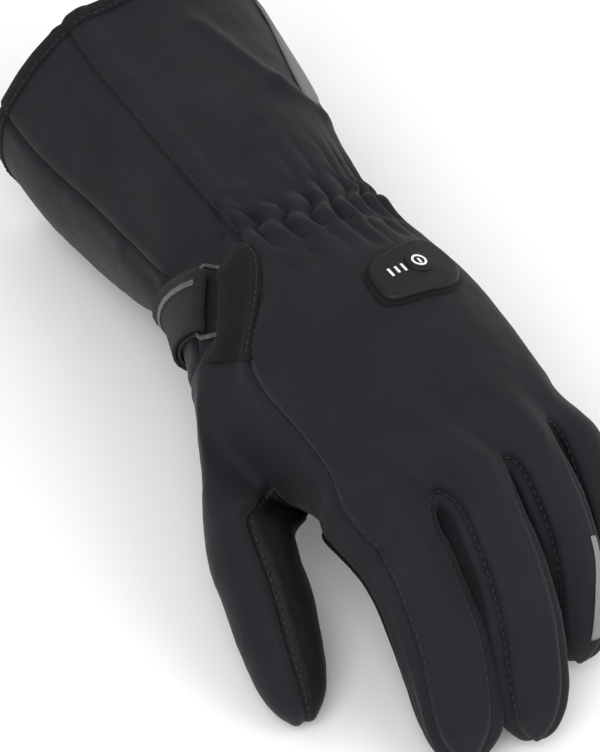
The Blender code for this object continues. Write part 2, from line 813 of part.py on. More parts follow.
def rounded_outline(corners, radius, steps=3):
    """Corner points joined by straight lines with round corners."""
    corners = [np.array(c, float) for c in corners]
    out = []
    for i, p in enumerate(corners):
        a = corners[i - 1]
        b = corners[(i + 1) % len(corners)]
        to_a, to_b = unit(a - p), unit(b - p)
        for k in range(steps + 1):
            t = k / steps
            out.append((1 - t) ** 2 * (p + to_a * radius) + 2 * t * (1 - t) * p
                       + t * t * (p + to_b * radius))
    return out


def evened(outline, count):
    """The same closed outline with its points at equal steps."""
    ends = np.vstack((outline, outline[:1]))
    run = np.concatenate(([0.0], np.cumsum(np.linalg.norm(np.diff(ends, axis=0), axis=1))))
    want = np.linspace(0.0, run[-1], count + 1)[:-1]
    return np.stack([np.interp(want, run, ends[:, k]) for k in range(ends.shape[1])], axis=1)


def wire(path, radius, sides=6):
    """Closed round wire along a nearly flat path."""
    path = np.array(path, float)
    count = len(path)
    ahead = np.roll(path, -1, axis=0) - np.roll(path, 1, axis=0)
    middle = path.mean(axis=0)
    up = unit(sum(np.cross(path[i] - middle, path[(i + 1) % count] - middle) for i in range(count)))
    points = []
    faces = []
    for i in range(count):
        t = unit(ahead[i])
        side = unit(np.cross(up, t))
        lift = np.cross(t, side)
        for k in range(sides):
            a = 2.0 * math.pi * k / sides
            points.append(path[i] + radius * (side * math.cos(a) + lift * math.sin(a)))
    for i in range(count):
        n = (i + 1) % count
        for k in range(sides):
            m = (k + 1) % sides
            faces.append((i * sides + k, i * sides + m, n * sides + m, n * sides + k))
    return np.array(points), faces


def mouth_loop(faces):
    """Points round the open end of the cuff, in order."""
    directed = set()
    for f in faces:
        for pair in zip(f, f[1:] + f[:1]):
            directed.add(pair)
    after = {a: b for a, b in directed if (b, a) not in directed}
    loop = [min(after)]
    while after[loop[-1]] != loop[0]:
        loop.append(after[loop[-1]])
    return loop


def cuff_binding(points, normals, walls, faces):
    """Folded edging that wraps the cut edge of the cuff."""
    loop = mouth_loop(faces)
    rim = set(loop)
    inward = {}
    for f in faces:
        for a, b in zip(f, f[1:] + f[:1]):
            for v, w in ((a, b), (b, a)):
                if v in rim and w not in rim:
                    inward[v] = unit(points[w] - points[v])
    lip = BINDING_GAP + BINDING_THICK
    rows = []
    for v in loop:
        deep = walls[v]
        profile = (
            (BINDING_LEG, BINDING_GAP), (BINDING_LEG, lip), (-BINDING_GAP, lip), (-lip, 0.0),
            (-lip, -deep), (-BINDING_GAP, -deep - lip), (BINDING_LEG, -deep - lip),
            (BINDING_LEG, -deep - BINDING_GAP), (-BINDING_GAP, -deep - BINDING_GAP),
            (-BINDING_GAP, BINDING_GAP),
        )
        rows.append([points[v] + inward[v] * u + normals[v] * h for u, h in profile])
    count, sides = len(rows), len(rows[0])
    out = []
    for i in range(count):
        n = (i + 1) % count
        for k in range(sides):
            m = (k + 1) % sides
            out.append((i * sides + k, i * sides + m, n * sides + m, n * sides + k))
    return np.array(rows).reshape(-1, 3), out


def strap_ground(tree, rows=25, cols=5):
    """Shell points and normals under the strap, palm end first, and the length along it."""
    shares = [j / (cols - 1) for j in range(cols)]
    base, normal = grid_on(tree, strip_between(STRAP_UPPER, STRAP_LOWER, rows, shares))
    middle = base[:, cols // 2]
    steps = np.linalg.norm(np.diff(middle, axis=0), axis=1)
    return base, normal, np.concatenate(([0.0], np.cumsum(steps)))


def on_strap(ground, s, t, h):
    """Point at length s along the strap, share t across it and height h over the shell."""
    base, normal, run = ground
    i = min(max(int(np.searchsorted(run, s)) - 1, 0), len(run) - 2)
    u = (s - run[i]) / (run[i + 1] - run[i])
    cols = base.shape[1] - 1
    j = min(max(int(t * cols), 0), cols - 1)
    w = t * cols - j

    def mix(g):
        first = g[i, j] * (1.0 - w) + g[i, j + 1] * w
        second = g[i + 1, j] * (1.0 - w) + g[i + 1, j + 1] * w
        return first * (1.0 - u) + second * u
    return mix(base) + unit(mix(normal)) * h


def strap_levels():
    """Heights over the shell of the strap's under layer, the wire's centre and the top layer."""
    under = BENT_SEAT + STRAP_THICK / 2.0
    bar = BENT_SEAT + STRAP_THICK + STACK_GAP + WIRE_RADIUS
    top = under + STRAP_THICK + STACK_GAP
    return under, bar, top


def strap_line(length):
    """Middle line of the strap as (along, above): up to the loop, round the wire and back."""
    under, bar, top = strap_levels()
    turn = bar - under
    line = [(length * k / UNDER_STEPS, under) for k in range(UNDER_STEPS)]
    for k in range(TURN_STEPS + 1):
        a = math.pi * (k / TURN_STEPS - 0.5)
        line.append((length + turn * math.cos(a), bar + turn * math.sin(a)))
    free = length - STRAP_OVERLAP
    for k in range(1, FREE_STEPS + 1):
        share = k / FREE_STEPS
        fall = math.exp(-(share * STRAP_FALL[0]) ** STRAP_FALL[1])
        line.append((length + (free - length) * share, top + (bar + turn - top) * fall))
    return line


def strap_sides(line):
    """Unit vectors square to the strap's middle line, on its inner side once it is folded."""
    ahead = np.gradient(line, axis=0)
    ahead /= np.linalg.norm(ahead, axis=1)[:, None]
    return np.stack((-ahead[:, 1], ahead[:, 0]), axis=1)


def wrist_strap(ground):
    line = np.array(strap_line(ground[2][-1]))
    side = strap_sides(line) * STRAP_THICK / 2.0
    cols = ground[0].shape[1]
    grids = []
    for offset in (side, -side):
        for (s, h) in line + offset:
            grids += [on_strap(ground, s, j / (cols - 1), h) for j in range(cols)]
    return np.array(grids), slab_faces(len(line), cols, len(line) * cols)


def strap_stripe(ground):
    """Light stripe along the upper edge of the strap's top layer."""
    line = np.array(strap_line(ground[2][-1]))
    side = strap_sides(line)
    top = slice(UNDER_STEPS + TURN_STEPS + 2, len(line) - 1)
    line, side = line[top], side[top]
    low = STRAP_THICK / 2.0 + STRIPE_GAP
    grids = []
    for lift in (low + STRIPE_THICK, low):
        for s, h in line - side * lift:
            grids += [on_strap(ground, s, t, h) for t in STRIPE_EDGES]
    return np.array(grids), slab_faces(len(line), 2, len(line) * 2)


def strap_loop(tree, ground):
    """Wire frame that the strap turns round, its far side under the wrist side panel."""
    length = ground[2][-1]
    bar = strap_levels()[1]
    near = [on_strap(ground, length, t, bar) for t in (-0.10, 0.25, 0.5, 0.75, 1.10)]
    far = []
    low = SEAT + WIRE_RADIUS
    for t in (1.0, 0.66, 0.33, 0.0):
        spot = np.array(LOOP_FAR_UPPER) * (1.0 - t) + np.array(LOOP_FAR_LOWER) * t
        place, normal, _, _ = tree.find_nearest(Vector(spot))
        far.append(np.array(place) + np.array(normal) * low)
    route = near + far
    path = []
    corners = (0, 4, 5, 8)
    for i, p in enumerate(route):
        if i not in corners:
            path.append(p)
            continue
        before = unit(route[i - 1] - p)
        after = unit(route[(i + 1) % len(route)] - p)
        for k in range(3):
            t = k / 2.0
            path.append((1 - t) ** 2 * (p + before * LOOP_CORNER) + 2 * t * (1 - t) * p
                        + t * t * (p + after * LOOP_CORNER))
    return wire(path, WIRE_RADIUS)


def wrist_side_panel(tree):
    """Thin panel over the thumb side of the wrist, its left edge over the wire loop."""
    shares = (0.0, 0.25, 0.5, 0.75, 1.0)
    base, normal = grid_on(tree, strip_between(SIDE_PANEL_RIGHT, SIDE_PANEL_LEFT, 10, shares))
    rise = SEAT + 2.0 * WIRE_RADIUS + WIRE_CLEARANCE - BENT_SEAT
    across = BENT_SEAT + rise * np.array(SIDE_PANEL_RISE)
    low = np.broadcast_to(across, base.shape[:2])
    return slab(base, normal, low, low + SHEET)


def cuff_insert(tree):
    shares = (0.0, 0.2, 0.4, 0.6, 0.8, 1.0)
    base, normal = grid_on(tree, strip_between(CUFF_INSERT_UPPER, CUFF_INSERT_LOWER, 12, shares))
    return slab(base, normal, BENT_SEAT, BENT_SEAT + SHEET)


def finger_strip(tree):
    near = np.array(FINGER_STRIP_NEAR)
    far = near + np.array(FINGER_STRIP_WIDTH)
    base, normal = grid_on(tree, strip_between(near, far, 7, (0.0, 0.5, 1.0)))
    return slab(base, normal, BENT_SEAT, BENT_SEAT + SHEET)


def heating_control(tree, materials):
    """Frame, rubber pad, button and printed marks, each seated on the one below."""
    fabric, rubber, print_white = materials
    outline = evened(np.array(rounded_outline(PAD_CORNERS, PAD_ROUND)), PAD_POINTS)
    middle = outline.mean(axis=0)
    facing = unit(sum(drop_on(tree, x, y)[1] for x, y in outline))
    spread = middle + (outline - middle) * FRAME_SPREAD
    frame = plate(tree, spread, facing, FRAME_RINGS, FRAME_SEAT,
                  (FRAME_SEAT + FRAME_THICK,) * len(FRAME_RINGS))
    add_object("control_pad_frame", *frame, fabric)
    low = FRAME_SEAT + FRAME_THICK + STACK_GAP
    heights = (low + PAD_SHOULDER * PAD_THICK,) + (low + PAD_THICK,) * (len(PAD_RINGS) - 1)
    pad = plate(tree, outline, facing, PAD_RINGS, low, heights)
    add_object("control_pad", *pad, rubber)
    pad_tree = tree_of(*pad)
    heights = (SEAM_GAP + BUTTON_SHOULDER * BUTTON_RISE, SEAM_GAP + BUTTON_RISE)
    button = plate(pad_tree, circle(BUTTON_PLACE, BUTTON_RADIUS), facing, BUTTON_RINGS,
                   SEAM_GAP, heights)
    add_object("power_button", *button, rubber)
    button_tree = tree_of(*button)
    high = MARK_GAP + MARK_THICK
    ring = ring_plate(button_tree, BUTTON_PLACE, facing, *MARK_RING, MARK_GAP, high)
    add_object("power_mark_ring", *ring, print_white, smooth=False)
    stem = box_outline(BUTTON_PLACE[0] + MARK_STEM_SHIFT, BUTTON_PLACE[1], *MARK_STEM)
    add_object("power_mark_stem", *plate(button_tree, stem, facing, (1.0,), MARK_GAP, (high,)),
               print_white, smooth=False)
    for i, (x, y, size) in enumerate(LEVEL_BARS):
        bar = plate(pad_tree, box_outline(x, y, size, BAR_WIDTH), facing, (1.0,), MARK_GAP, (high,))
        add_object("level_bar_%d" % (i + 1), *bar, print_white, smooth=False)


PANELS = (
    "back_panel", "cuff_under_panel", "cuff_side_panel", "thumb_side_panel", "palm_panel",
    "thumb_palm_panel", "fourchette_1", "fourchette_2", "fourchette_3",
)


def main():
    for obj in list(bpy.data.objects):
        bpy.data.objects.remove(obj, do_unlink=True)
    points, faces, tags = skin(PANEL_LEVEL)
    normals = vertex_normals(points, faces)
    walls = wall_sizes(points)
    corners = corner_points(faces, tags)
    softshell = make_material("softshell", (0.026, 0.029, 0.034), 0.75)
    leather = make_material("leather", (0.012, 0.011, 0.010), 0.55)
    webbing = make_material("webbing", (0.018, 0.017, 0.016), 0.8)
    reflective = make_material("reflective", (0.16, 0.16, 0.15), 0.45)
    rubber = make_material("rubber", (0.022, 0.022, 0.021), 0.6)
    print_white = make_material("print_white", (0.80, 0.80, 0.80), 0.6)
    steel = make_material("steel_wire", (0.25, 0.25, 0.26), 0.35, 1.0)
    for name in PANELS:
        p, f = panel_mesh(points, normals, walls, faces, tags, corners, name)
        material = leather if name in ("palm_panel", "thumb_palm_panel") else softshell
        add_object(name, p, f, material)
    tree = tree_of(points, faces)
    ground = strap_ground(tree)
    add_object("cuff_binding", *cuff_binding(points, normals, walls, faces), webbing)
    add_object("reflective_cuff_insert", *cuff_insert(tree), reflective)
    add_object("reflective_finger_strip", *finger_strip(tree), reflective)
    add_object("wrist_side_panel", *wrist_side_panel(tree), webbing)
    add_object("strap_loop", *strap_loop(tree, ground), steel)
    add_object("wrist_strap", *wrist_strap(ground), webbing)
    add_object("strap_stripe", *strap_stripe(ground), reflective)
    heating_control(tree, (webbing, rubber, print_white))


if __name__ == "__main__":
    main()
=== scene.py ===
"""Looks of the heated winter glove: fine skin, seams, stitches, gathers and materials."""
import math

import bpy
import numpy as np
from mathutils import Matrix, Vector, noise
from mathutils.bvhtree import BVHTree
from mathutils.kdtree import KDTree


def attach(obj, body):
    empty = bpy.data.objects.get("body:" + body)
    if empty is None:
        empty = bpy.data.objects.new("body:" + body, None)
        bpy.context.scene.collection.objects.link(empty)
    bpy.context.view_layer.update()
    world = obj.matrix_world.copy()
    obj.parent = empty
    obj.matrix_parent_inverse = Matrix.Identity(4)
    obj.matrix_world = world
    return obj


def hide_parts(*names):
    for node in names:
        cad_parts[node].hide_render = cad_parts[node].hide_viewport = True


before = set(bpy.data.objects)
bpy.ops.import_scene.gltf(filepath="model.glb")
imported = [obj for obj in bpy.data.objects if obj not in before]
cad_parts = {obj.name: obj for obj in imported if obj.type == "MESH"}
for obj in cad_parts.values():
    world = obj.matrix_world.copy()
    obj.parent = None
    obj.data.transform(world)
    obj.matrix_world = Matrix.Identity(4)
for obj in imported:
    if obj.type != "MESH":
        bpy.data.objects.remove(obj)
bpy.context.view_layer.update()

# The tables are the part's own, in millimetres, so the fine skin follows the CAD solids
MM = 0.001

# Shell, with a finer gap between its panels than the solids have
WALL = 3.4
PANEL_GAP = 0.04
TIGHT_WALL_SHARE = 0.38
TIGHT_REACH = 13.0
SPIKE_SHIFT = 3.5
NOTCH_SHIFT = 1.0
FOLDED_TURN = 0.7
LEAST_TURN = 0.4

# Sewn-on pieces: clearance over the shell, flat and bent, and between two layers
SEAT = 0.6
STACK_GAP = 0.4
BENT_SEAT = 1.1

# Folded edging of the cuff
BINDING_LEG = 6.0
BINDING_THICK = 1.1
BINDING_GAP = 0.45

# Wrist strap and its wire loop
STRAP_THICK = 1.2
STRAP_OVERLAP = 46.0
STRAP_FALL = (3.2, 1.5)
FREE_STEPS = 8
UNDER_STEPS = 14
TURN_STEPS = 6
WIRE_RADIUS = 1.0
LOOP_CORNER = 3.0
STRIPE_THICK = 0.5
STRAP_UPPER = (
    (-8.0, -20.0, 26.0),
    (-6.0, -35.0, 34.0),
    (-4.0, -42.0, 45.0),
    (-0.5, -44.5, 56.6),
    (4.9, -42.4, 67.1),
    (15.8, -36.8, 77.3),
)
STRAP_LOWER = (
    (15.0, -20.0, 27.5),
    (17.0, -36.0, 33.0),
    (20.0, -46.0, 43.0),
    (24.0, -50.0, 53.0),
    (29.0, -51.5, 63.0),
    (36.0, -51.0, 73.0),
)
LOOP_FAR_UPPER = (24.0, -31.5, 84.8)
LOOP_FAR_LOWER = (45.6, -47.4, 80.8)

# Edges of the sewn-on pieces: points x, y, z laid on the shell
SIDE_PANEL_RIGHT = (
    (20.5, -20.7, 88.6),
    (30.0, -21.6, 89.3),
    (41.5, -28.6, 89.0),
    (51.2, -36.4, 87.0),
    (64.3, -46.8, 83.0),
)
SIDE_PANEL_LEFT = (
    (19.0, -23.5, 87.6),
    (22.3, -33.3, 82.9),
    (32.0, -39.8, 82.4),
    (45.9, -49.7, 78.4),
    (48.5, -54.5, 71.5),
)
CUFF_INSERT_UPPER = (
    (-111.0, 64.5, 75.0),
    (-94.0, 61.0, 74.7),
    (-75.5, 54.7, 77.6),
    (-56.7, 48.0, 81.2),
    (-40.3, 43.1, 82.7),
)
CUFF_INSERT_LOWER = (
    (-111.0, 71.5, 50.0),
    (-94.0, 69.5, 53.0),
    (-75.5, 64.0, 58.0),
    (-56.7, 57.0, 66.0),
    (-40.3, 47.5, 77.0),
)
FINGER_STRIP_NEAR = ((168.0, 20.0, 50.0), (173.0, 19.0, 44.6), (180.7, 14.3, 33.6), (186.0, 9.7, 21.1))
FINGER_STRIP_WIDTH = (0.9, 4.4, -0.6)

# Heating control on the back of the hand: corners x, y and heights over the shell
PAD_CORNERS = ((56.0, 3.2), (46.9, 35.5), (64.5, 39.5), (75.2, 29.5), (74.8, 1.2))
FRAME_SEAT = 1.2
PAD_THICK = 1.9
BUTTON_PLACE = (61.8, 23.4)
BUTTON_RADIUS = 5.2
BUTTON_RISE = 0.8
MARK_RING = (2.8, 2.0)
MARK_STEM = (2.4, 0.8)
MARK_STEM_SHIFT = 0.3
LEVEL_BARS = ((63.2, 10.6, 3.9), (62.9, 13.5, 3.2), (62.6, 16.4, 3.7))
BAR_WIDTH = 0.9
REST_X = -78.0
REST_Y = 9.0

# Ring points: 0-8 over the back, 9 little finger edge, 10-18 over the palm, 19-20 thumb edge
BACK_LAST = 8
EDGE = 9
PALM_FIRST = 10
PALM_LAST = 18
SIDE_LOW = 19
SIDE_HIGH = 20
RING = 21

# x, centre y, centre z, half width, height above centre, depth below centre, lean of the ring
SECTIONS = (
    (-120.5, 14.0, 50.0, 59.0, 45.5, 46.0, 0.03),
    (-108.0, 13.0, 48.5, 58.5, 45.5, 49.0, 0.03),
    (-86.0, 10.5, 48.5, 56.5, 44.5, 50.0, 0.05),
    (-60.0, 8.0, 51.0, 52.5, 42.5, 52.0, 0.08),
    (-34.0, 4.0, 54.5, 48.5, 39.5, 47.0, 0.12),
    (-10.0, 0.5, 57.0, 45.5, 35.0, 36.0, 0.20),
    (2.0, 0.0, 58.0, 43.5, 31.5, 31.5, 0.25),
    (14.0, -1.5, 59.0, 44.5, 31.5, 31.0, 0.25),
    (40.0, -5.0, 58.5, 51.5, 33.0, 32.0, 0.20),
    (62.0, -6.0, 58.0, 55.5, 33.0, 32.0, 0.08),
    (92.0, -5.0, 57.5, 52.0, 31.0, 29.0, 0.0),
    (113.0, -3.5, 57.0, 48.5, 28.5, 24.0, 0.0),
)
SQUARENESS = 2.3

# Angles in degrees round each section: point 0, 8, 9, 10, 18, 19, 20
SECTION_ANGLES = (
    (116.0, 22.0, -5.0, -32.0, 235.0, 205.0, 167.0),
    (116.0, 22.0, -5.0, -32.0, 235.0, 205.0, 167.0),
    (116.0, 22.0, -5.0, -32.0, 235.0, 205.0, 167.0),
    (117.0, 22.0, -5.0, -32.0, 235.0, 205.0, 167.0),
    (117.0, 22.0, -5.0, -32.0, 235.0, 205.0, 167.0),
    (115.0, 22.0, -5.0, -32.0, 232.0, 202.0, 165.0),
    (114.0, 22.0, -5.0, -32.0, 230.0, 200.0, 162.0),
    (113.0, 22.0, -5.0, -32.0, 228.0, 200.0, 160.0),
    (118.0, 22.0, -5.0, -32.0, 228.0, 202.0, 166.0),
    (136.0, 22.0, -5.0, -32.0, 228.0, 206.0, 176.0),
    (145.0, 24.0, -3.0, -30.0, 223.0, 206.0, 187.0),
    (154.0, 26.0, -1.0, -28.0, 214.0, 198.0, 180.0),
)

# Knuckle line, where the fingers part: point number, x, y, z
ROOT_BACK = (
    (0, 127.0, -51.5, 66.0),
    (1, 132.0, -38.0, 77.0),
    (2, 139.0, -22.0, 69.5),
    (3, 139.5, -8.5, 82.0),
    (4, 140.0, 4.5, 71.5),
    (5, 137.0, 16.0, 80.0),
    (6, 134.5, 26.8, 71.5),
    (7, 127.5, 35.0, 73.0),
    (8, 121.0, 42.5, 64.0),
)
ROOT_EDGE = (119.0, 45.5, 53.0)
ROOT_PALM = (
    (10, 118.0, 43.5, 43.0),
    (11, 119.0, 37.0, 36.0),
    (12, 119.0, 27.5, 38.0),
    (13, 122.0, 15.0, 33.0),
    (14, 123.0, 3.5, 37.0),
    (15, 124.0, -9.0, 33.0),
    (16, 122.0, -22.0, 38.0),
    (17, 121.0, -36.0, 36.0),
    (18, 118.0, -49.0, 42.0),
)
ROOT_THUMB_EDGE = ((19, 122.0, -54.0, 50.0), (20, 124.0, -54.5, 58.5))
WEBS = ((137.0, -24.0, 54.5), (135.5, 4.3, 56.5), (129.5, 27.4, 55.0))

# Index, middle, ring and little finger: centre x, y, z, half width and half height of each
# ring; last the tip
FINGERS = (
    ((
        (145.0, -39.3, 54.0, 15.0, 15.8),
        (161.0, -39.8, 42.0, 14.8, 14.8),
        (176.0, -41.8, 28.0, 14.2, 13.8),
        (189.0, -46.0, 15.0, 11.6, 11.0),
    ), (197.0, -49.0, 4.5)),
    ((
        (151.0, -9.8, 56.0, 13.6, 15.8),
        (167.0, -11.4, 44.0, 13.5, 14.8),
        (181.0, -14.6, 31.0, 13.2, 13.8),
        (194.0, -19.5, 17.0, 11.0, 11.0),
    ), (202.5, -24.0, 5.0)),
    ((
        (144.0, 16.6, 56.0, 11.4, 14.6),
        (158.0, 16.4, 43.0, 11.2, 13.8),
        (169.0, 14.4, 29.0, 11.0, 12.8),
        (177.5, 11.2, 16.0, 10.0, 10.2),
    ), (183.0, 8.5, 5.0)),
    ((
        (131.0, 38.6, 52.0, 10.6, 13.2),
        (144.0, 39.2, 40.0, 10.2, 12.4),
        (155.0, 38.0, 27.0, 10.1, 11.8),
        (164.0, 35.5, 14.5, 9.4, 9.8),
    ), (170.0, 33.5, 4.5)),
)

# Angles in degrees round a finger's rings, the index finger's with its thumb side seam
FINGER_ANGLES = (140.0, 90.0, 40.0, 0.0, -42.0, -90.0, -138.0, 180.0)
INDEX_ANGLES = (140.0, 90.0, 40.0, 0.0, -42.0, -90.0, -138.0, -168.0, 170.0)

# Thumb: centre x, y, z, then half width and half thickness of each ring
THUMB_HOLE = (8, 10)
THUMB_RINGS = (
    (99.0, -70.0, 38.0, 15.4, 16.0),
    (113.0, -73.8, 32.0, 15.2, 15.2),
    (126.0, -77.0, 25.0, 14.6, 14.4),
    (139.0, -80.2, 16.5, 12.8, 12.6),
    (148.5, -82.0, 9.5, 8.8, 9.0),
)
THUMB_TIP = (153.5, -83.0, 4.5)
THUMB_AIM = (0.82, -0.46, -0.30)
THUMB_TURN = 50.0
THUMB_ANGLES = (135.0, 90.0, 45.0, 0.0, -45.0, -90.0, -135.0, 180.0)
THUMB_BASE_SHARE = 0.55

# Corners of the faces that close a tip, by their points of the last ring
CAPS = ((0, 1, 2), (2, 3, 4), (4, 5, 6), (6, 7, 0))
INDEX_CAPS = ((0, 1, 2), (2, 3, 4), (4, 5, 6), (6, 7), (7, 8, 0))

# Front of the thumb opening: point number, x, y, z
HOLE_FRONT = ((18, 91.0, -40.0, 28.0), (19, 94.0, -46.5, 36.5), (20, 90.0, -56.0, 47.0))

# Gathers over the back of the wrist: the section they are counted round, and their lean
GATHER_RING = 7
GATHER_LEAN = 0.25

# Folds: start x y z, end x y z, rise and half width
FOLDS = (
    ((-89.4, 27.9, 91.9), (-47.8, 35.2, 88.7), 1.1, 7.0),
    ((-47.8, 35.2, 88.7), (-35.0, 46.4, 78.0), 0.9, 7.0),
    ((-16.0, 5.8, 93.3), (9.0, -14.3, 88.4), -1.1, 7.0),
    ((-60.0, -33.0, 84.0), (-20.0, -41.0, 72.0), -0.7, 8.0),
    ((96.0, -2.0, 88.0), (128.0, -20.0, 78.0), 0.6, 8.0),
)

WRIST_RING = 8
FIT_ROUNDS = 6
CURVE_STEPS = 24
DROP_HEIGHT = 300.0

PANELS = (
    "back_panel", "cuff_under_panel", "cuff_side_panel", "thumb_side_panel", "palm_panel",
    "thumb_palm_panel", "fourchette_1", "fourchette_2", "fourchette_3",
)
LEATHER_PANELS = ("palm_panel", "thumb_palm_panel")


def unit(v):
    return v / np.linalg.norm(v)


def section_point(row, angle):
    x, yc, zc, half, above, below, lean = row
    c = math.cos(math.radians(angle))
    s = math.sin(math.radians(angle))
    power = 2.0 / SQUARENESS
    y = half * math.copysign(abs(c) ** power, c)
    z = (above if s > 0.0 else below) * math.copysign(abs(s) ** power, s)
    return (x + lean * z, yc + y, zc + z)


def spread_angles(keys):
    first, last, edge, palm_first, palm_last, low, high = keys
    back = [first + (last - first) * i / BACK_LAST for i in range(BACK_LAST + 1)]
    count = PALM_LAST - PALM_FIRST
    start = palm_first + 360.0
    palm = [start + (palm_last - start) * i / count for i in range(count + 1)]
    return back + [edge] + palm + [low, high]


def build_cage():
    """Control points of the whole glove skin, its faces and the panel each face belongs to."""
    points = []
    faces = []
    tags = []

    def add(p):
        points.append(tuple(float(c) for c in p))
        return len(points) - 1

    def join(previous, current, kinds):
        for j in range(len(current)):
            k = (j + 1) % len(current)
            faces.append((previous[j], previous[k], current[k], current[j]))
            tags.append(kinds[j])

    def close(tip, ring, caps, kinds):
        centre = add(tip)
        for corner in caps:
            faces.append(tuple([centre] + [ring[c] for c in corner]))
            tags.append(kinds[corner[0]])

    rings = []
    for row, keys in zip(SECTIONS, SECTION_ANGLES):
        rings.append([add(section_point(row, a)) for a in spread_angles(keys)])
    hole_start, hole_end = THUMB_HOLE
    for number, x, y, z in HOLE_FRONT:
        points[rings[hole_end][number]] = (x, y, z)
    root = {}
    for number, x, y, z in ROOT_BACK + ROOT_PALM + ROOT_THUMB_EDGE:
        root[number] = add((x, y, z))
    root[EDGE] = add(ROOT_EDGE)
    rings.append([root[i] for i in range(RING)])
    webs = [add(w) for w in WEBS]

    for r in range(len(rings) - 1):
        cuff = r < WRIST_RING
        for j in range(RING):
            if hole_start <= r < hole_end and j in (PALM_LAST, SIDE_LOW):
                continue
            k = (j + 1) % RING
            faces.append((rings[r][j], rings[r][k], rings[r + 1][k], rings[r + 1][j]))
            if j < BACK_LAST:
                tags.append("back_panel")
            elif j == BACK_LAST:
                tags.append("cuff_under_panel" if cuff else "back_panel")
            elif j == SIDE_HIGH:
                tags.append("cuff_side_panel" if cuff else "thumb_side_panel")
            elif j == SIDE_LOW and not cuff:
                tags.append("thumb_side_panel")
            else:
                tags.append("cuff_under_panel" if cuff else "palm_panel")

    for i, (table, tip) in enumerate(FINGERS):
        loop = [root[2 * i], root[2 * i + 1], root[2 * i + 2]]
        loop.append(webs[i] if i < len(webs) else root[EDGE])
        loop += [root[16 - 2 * i], root[17 - 2 * i], root[18 - 2 * i]]
        left = "fourchette_%d" % i
        right = "fourchette_%d" % (i + 1)
        kinds = ["back_panel"] * 2 + [right] * 2 + ["palm_panel"] * 2
        if i == 0:
            loop += [root[SIDE_LOW], root[SIDE_HIGH]]
            angles = INDEX_ANGLES
            kinds += ["palm_panel", "thumb_side_panel", "thumb_side_panel"]
            caps = INDEX_CAPS
        else:
            loop.append(webs[i - 1])
            angles = FINGER_ANGLES
            kinds += [left, left]
            if i == len(FINGERS) - 1:
                kinds[2:4] = ["back_panel", "palm_panel"]
            caps = CAPS
        knuckle = np.mean([points[v] for v in loop], axis=0)
        stations = [knuckle] + [np.array(row[:3]) for row in table] + [np.array(tip)]
        for n, (_, _, _, half_w, half_h) in enumerate(table):
            ahead = unit(stations[n + 2] - stations[n])
            ring = finger_ring(stations[n + 1], ahead, half_w, half_h, angles)
            current = [add(p) for p in ring]
            join(loop, current, kinds)
            loop = current
        close(tip, loop, caps, kinds)

    a, b = hole_start, hole_end
    m = a + 1
    loop = [rings[a][SIDE_HIGH], rings[m][SIDE_HIGH], rings[b][SIDE_HIGH], rings[b][SIDE_LOW],
            rings[b][PALM_LAST], rings[m][PALM_LAST], rings[a][PALM_LAST], rings[a][SIDE_LOW]]
    kinds = ["thumb_side_panel"] * 2 + ["thumb_palm_panel"] * 4 + ["thumb_side_panel"] * 2
    stations = [np.array(row[:3]) for row in THUMB_RINGS] + [np.array(THUMB_TIP)]
    for i, (_, _, _, half_w, half_t) in enumerate(THUMB_RINGS):
        ahead = stations[i + 1] - stations[i - 1] if i else np.array(THUMB_AIM)
        shape = thumb_ring(stations[i], unit(ahead), half_w, half_t)
        if i == 0:
            share = THUMB_BASE_SHARE
            base = [np.array(points[v]) for v in loop]
            middle = [add(p * (1.0 - share) + q * share) for p, q in zip(base, shape)]
            join(loop, middle, kinds)
            loop = middle
        current = [add(p) for p in shape]
        join(loop, current, kinds)
        loop = current
    close(THUMB_TIP, loop, CAPS, kinds)
    return np.array(points), [f[::-1] for f in faces], tags


def finger_ring(centre, ahead, half_w, half_h, angles):
    side = unit(np.cross((0.0, 0.0, 1.0), ahead))
    up = np.cross(ahead, side)
    out = []
    for a in angles:
        t = math.radians(a)
        out.append(centre + side * half_w * math.cos(t) + up * half_h * math.sin(t))
    return out


def thumb_ring(centre, ahead, half_w, half_t):
    up = unit(np.array((0.0, 0.0, 1.0)) - ahead * ahead[2])
    inner = unit(np.cross(up, ahead))
    turn = math.radians(THUMB_TURN)
    out = []
    for a in THUMB_ANGLES:
        t = math.radians(a) + turn
        out.append(centre + inner * half_w * math.cos(t) + up * half_t * math.sin(t))
    return out


def fitted_cage():
    """Move the control points until the smooth skin passes through the points of the tables."""
    target, faces, tags = build_cage()
    cage = np.array(target)
    for _ in range(FIT_ROUNDS):
        fitted = refine(*refine(cage, faces))[0]
        cage += target - fitted[:len(target)]
    return cage, faces, tags


def segment_distance(points, start, end):
    """Distance of each point to a straight stretch."""
    a, b = np.array(start), np.array(end)
    share = np.clip((points - a) @ (b - a) / ((b - a) @ (b - a)), 0.0, 1.0)
    return np.linalg.norm(points - a - share[:, None] * (b - a), axis=1)


def wrist_turn(points):
    """Place round the back of the wrist, counted in its ring points from the thumb side seam."""
    row = SECTIONS[GATHER_RING]
    angles = spread_angles(SECTION_ANGLES[GATHER_RING])[:EDGE + 1]
    ring = np.array([section_point(row, a) for a in angles])
    bearings = [np.arctan2(p[:, 1] - row[1], p[:, 2] - row[2]) for p in (ring, points)]
    return np.interp(bearings[1], bearings[0], np.arange(EDGE + 1))


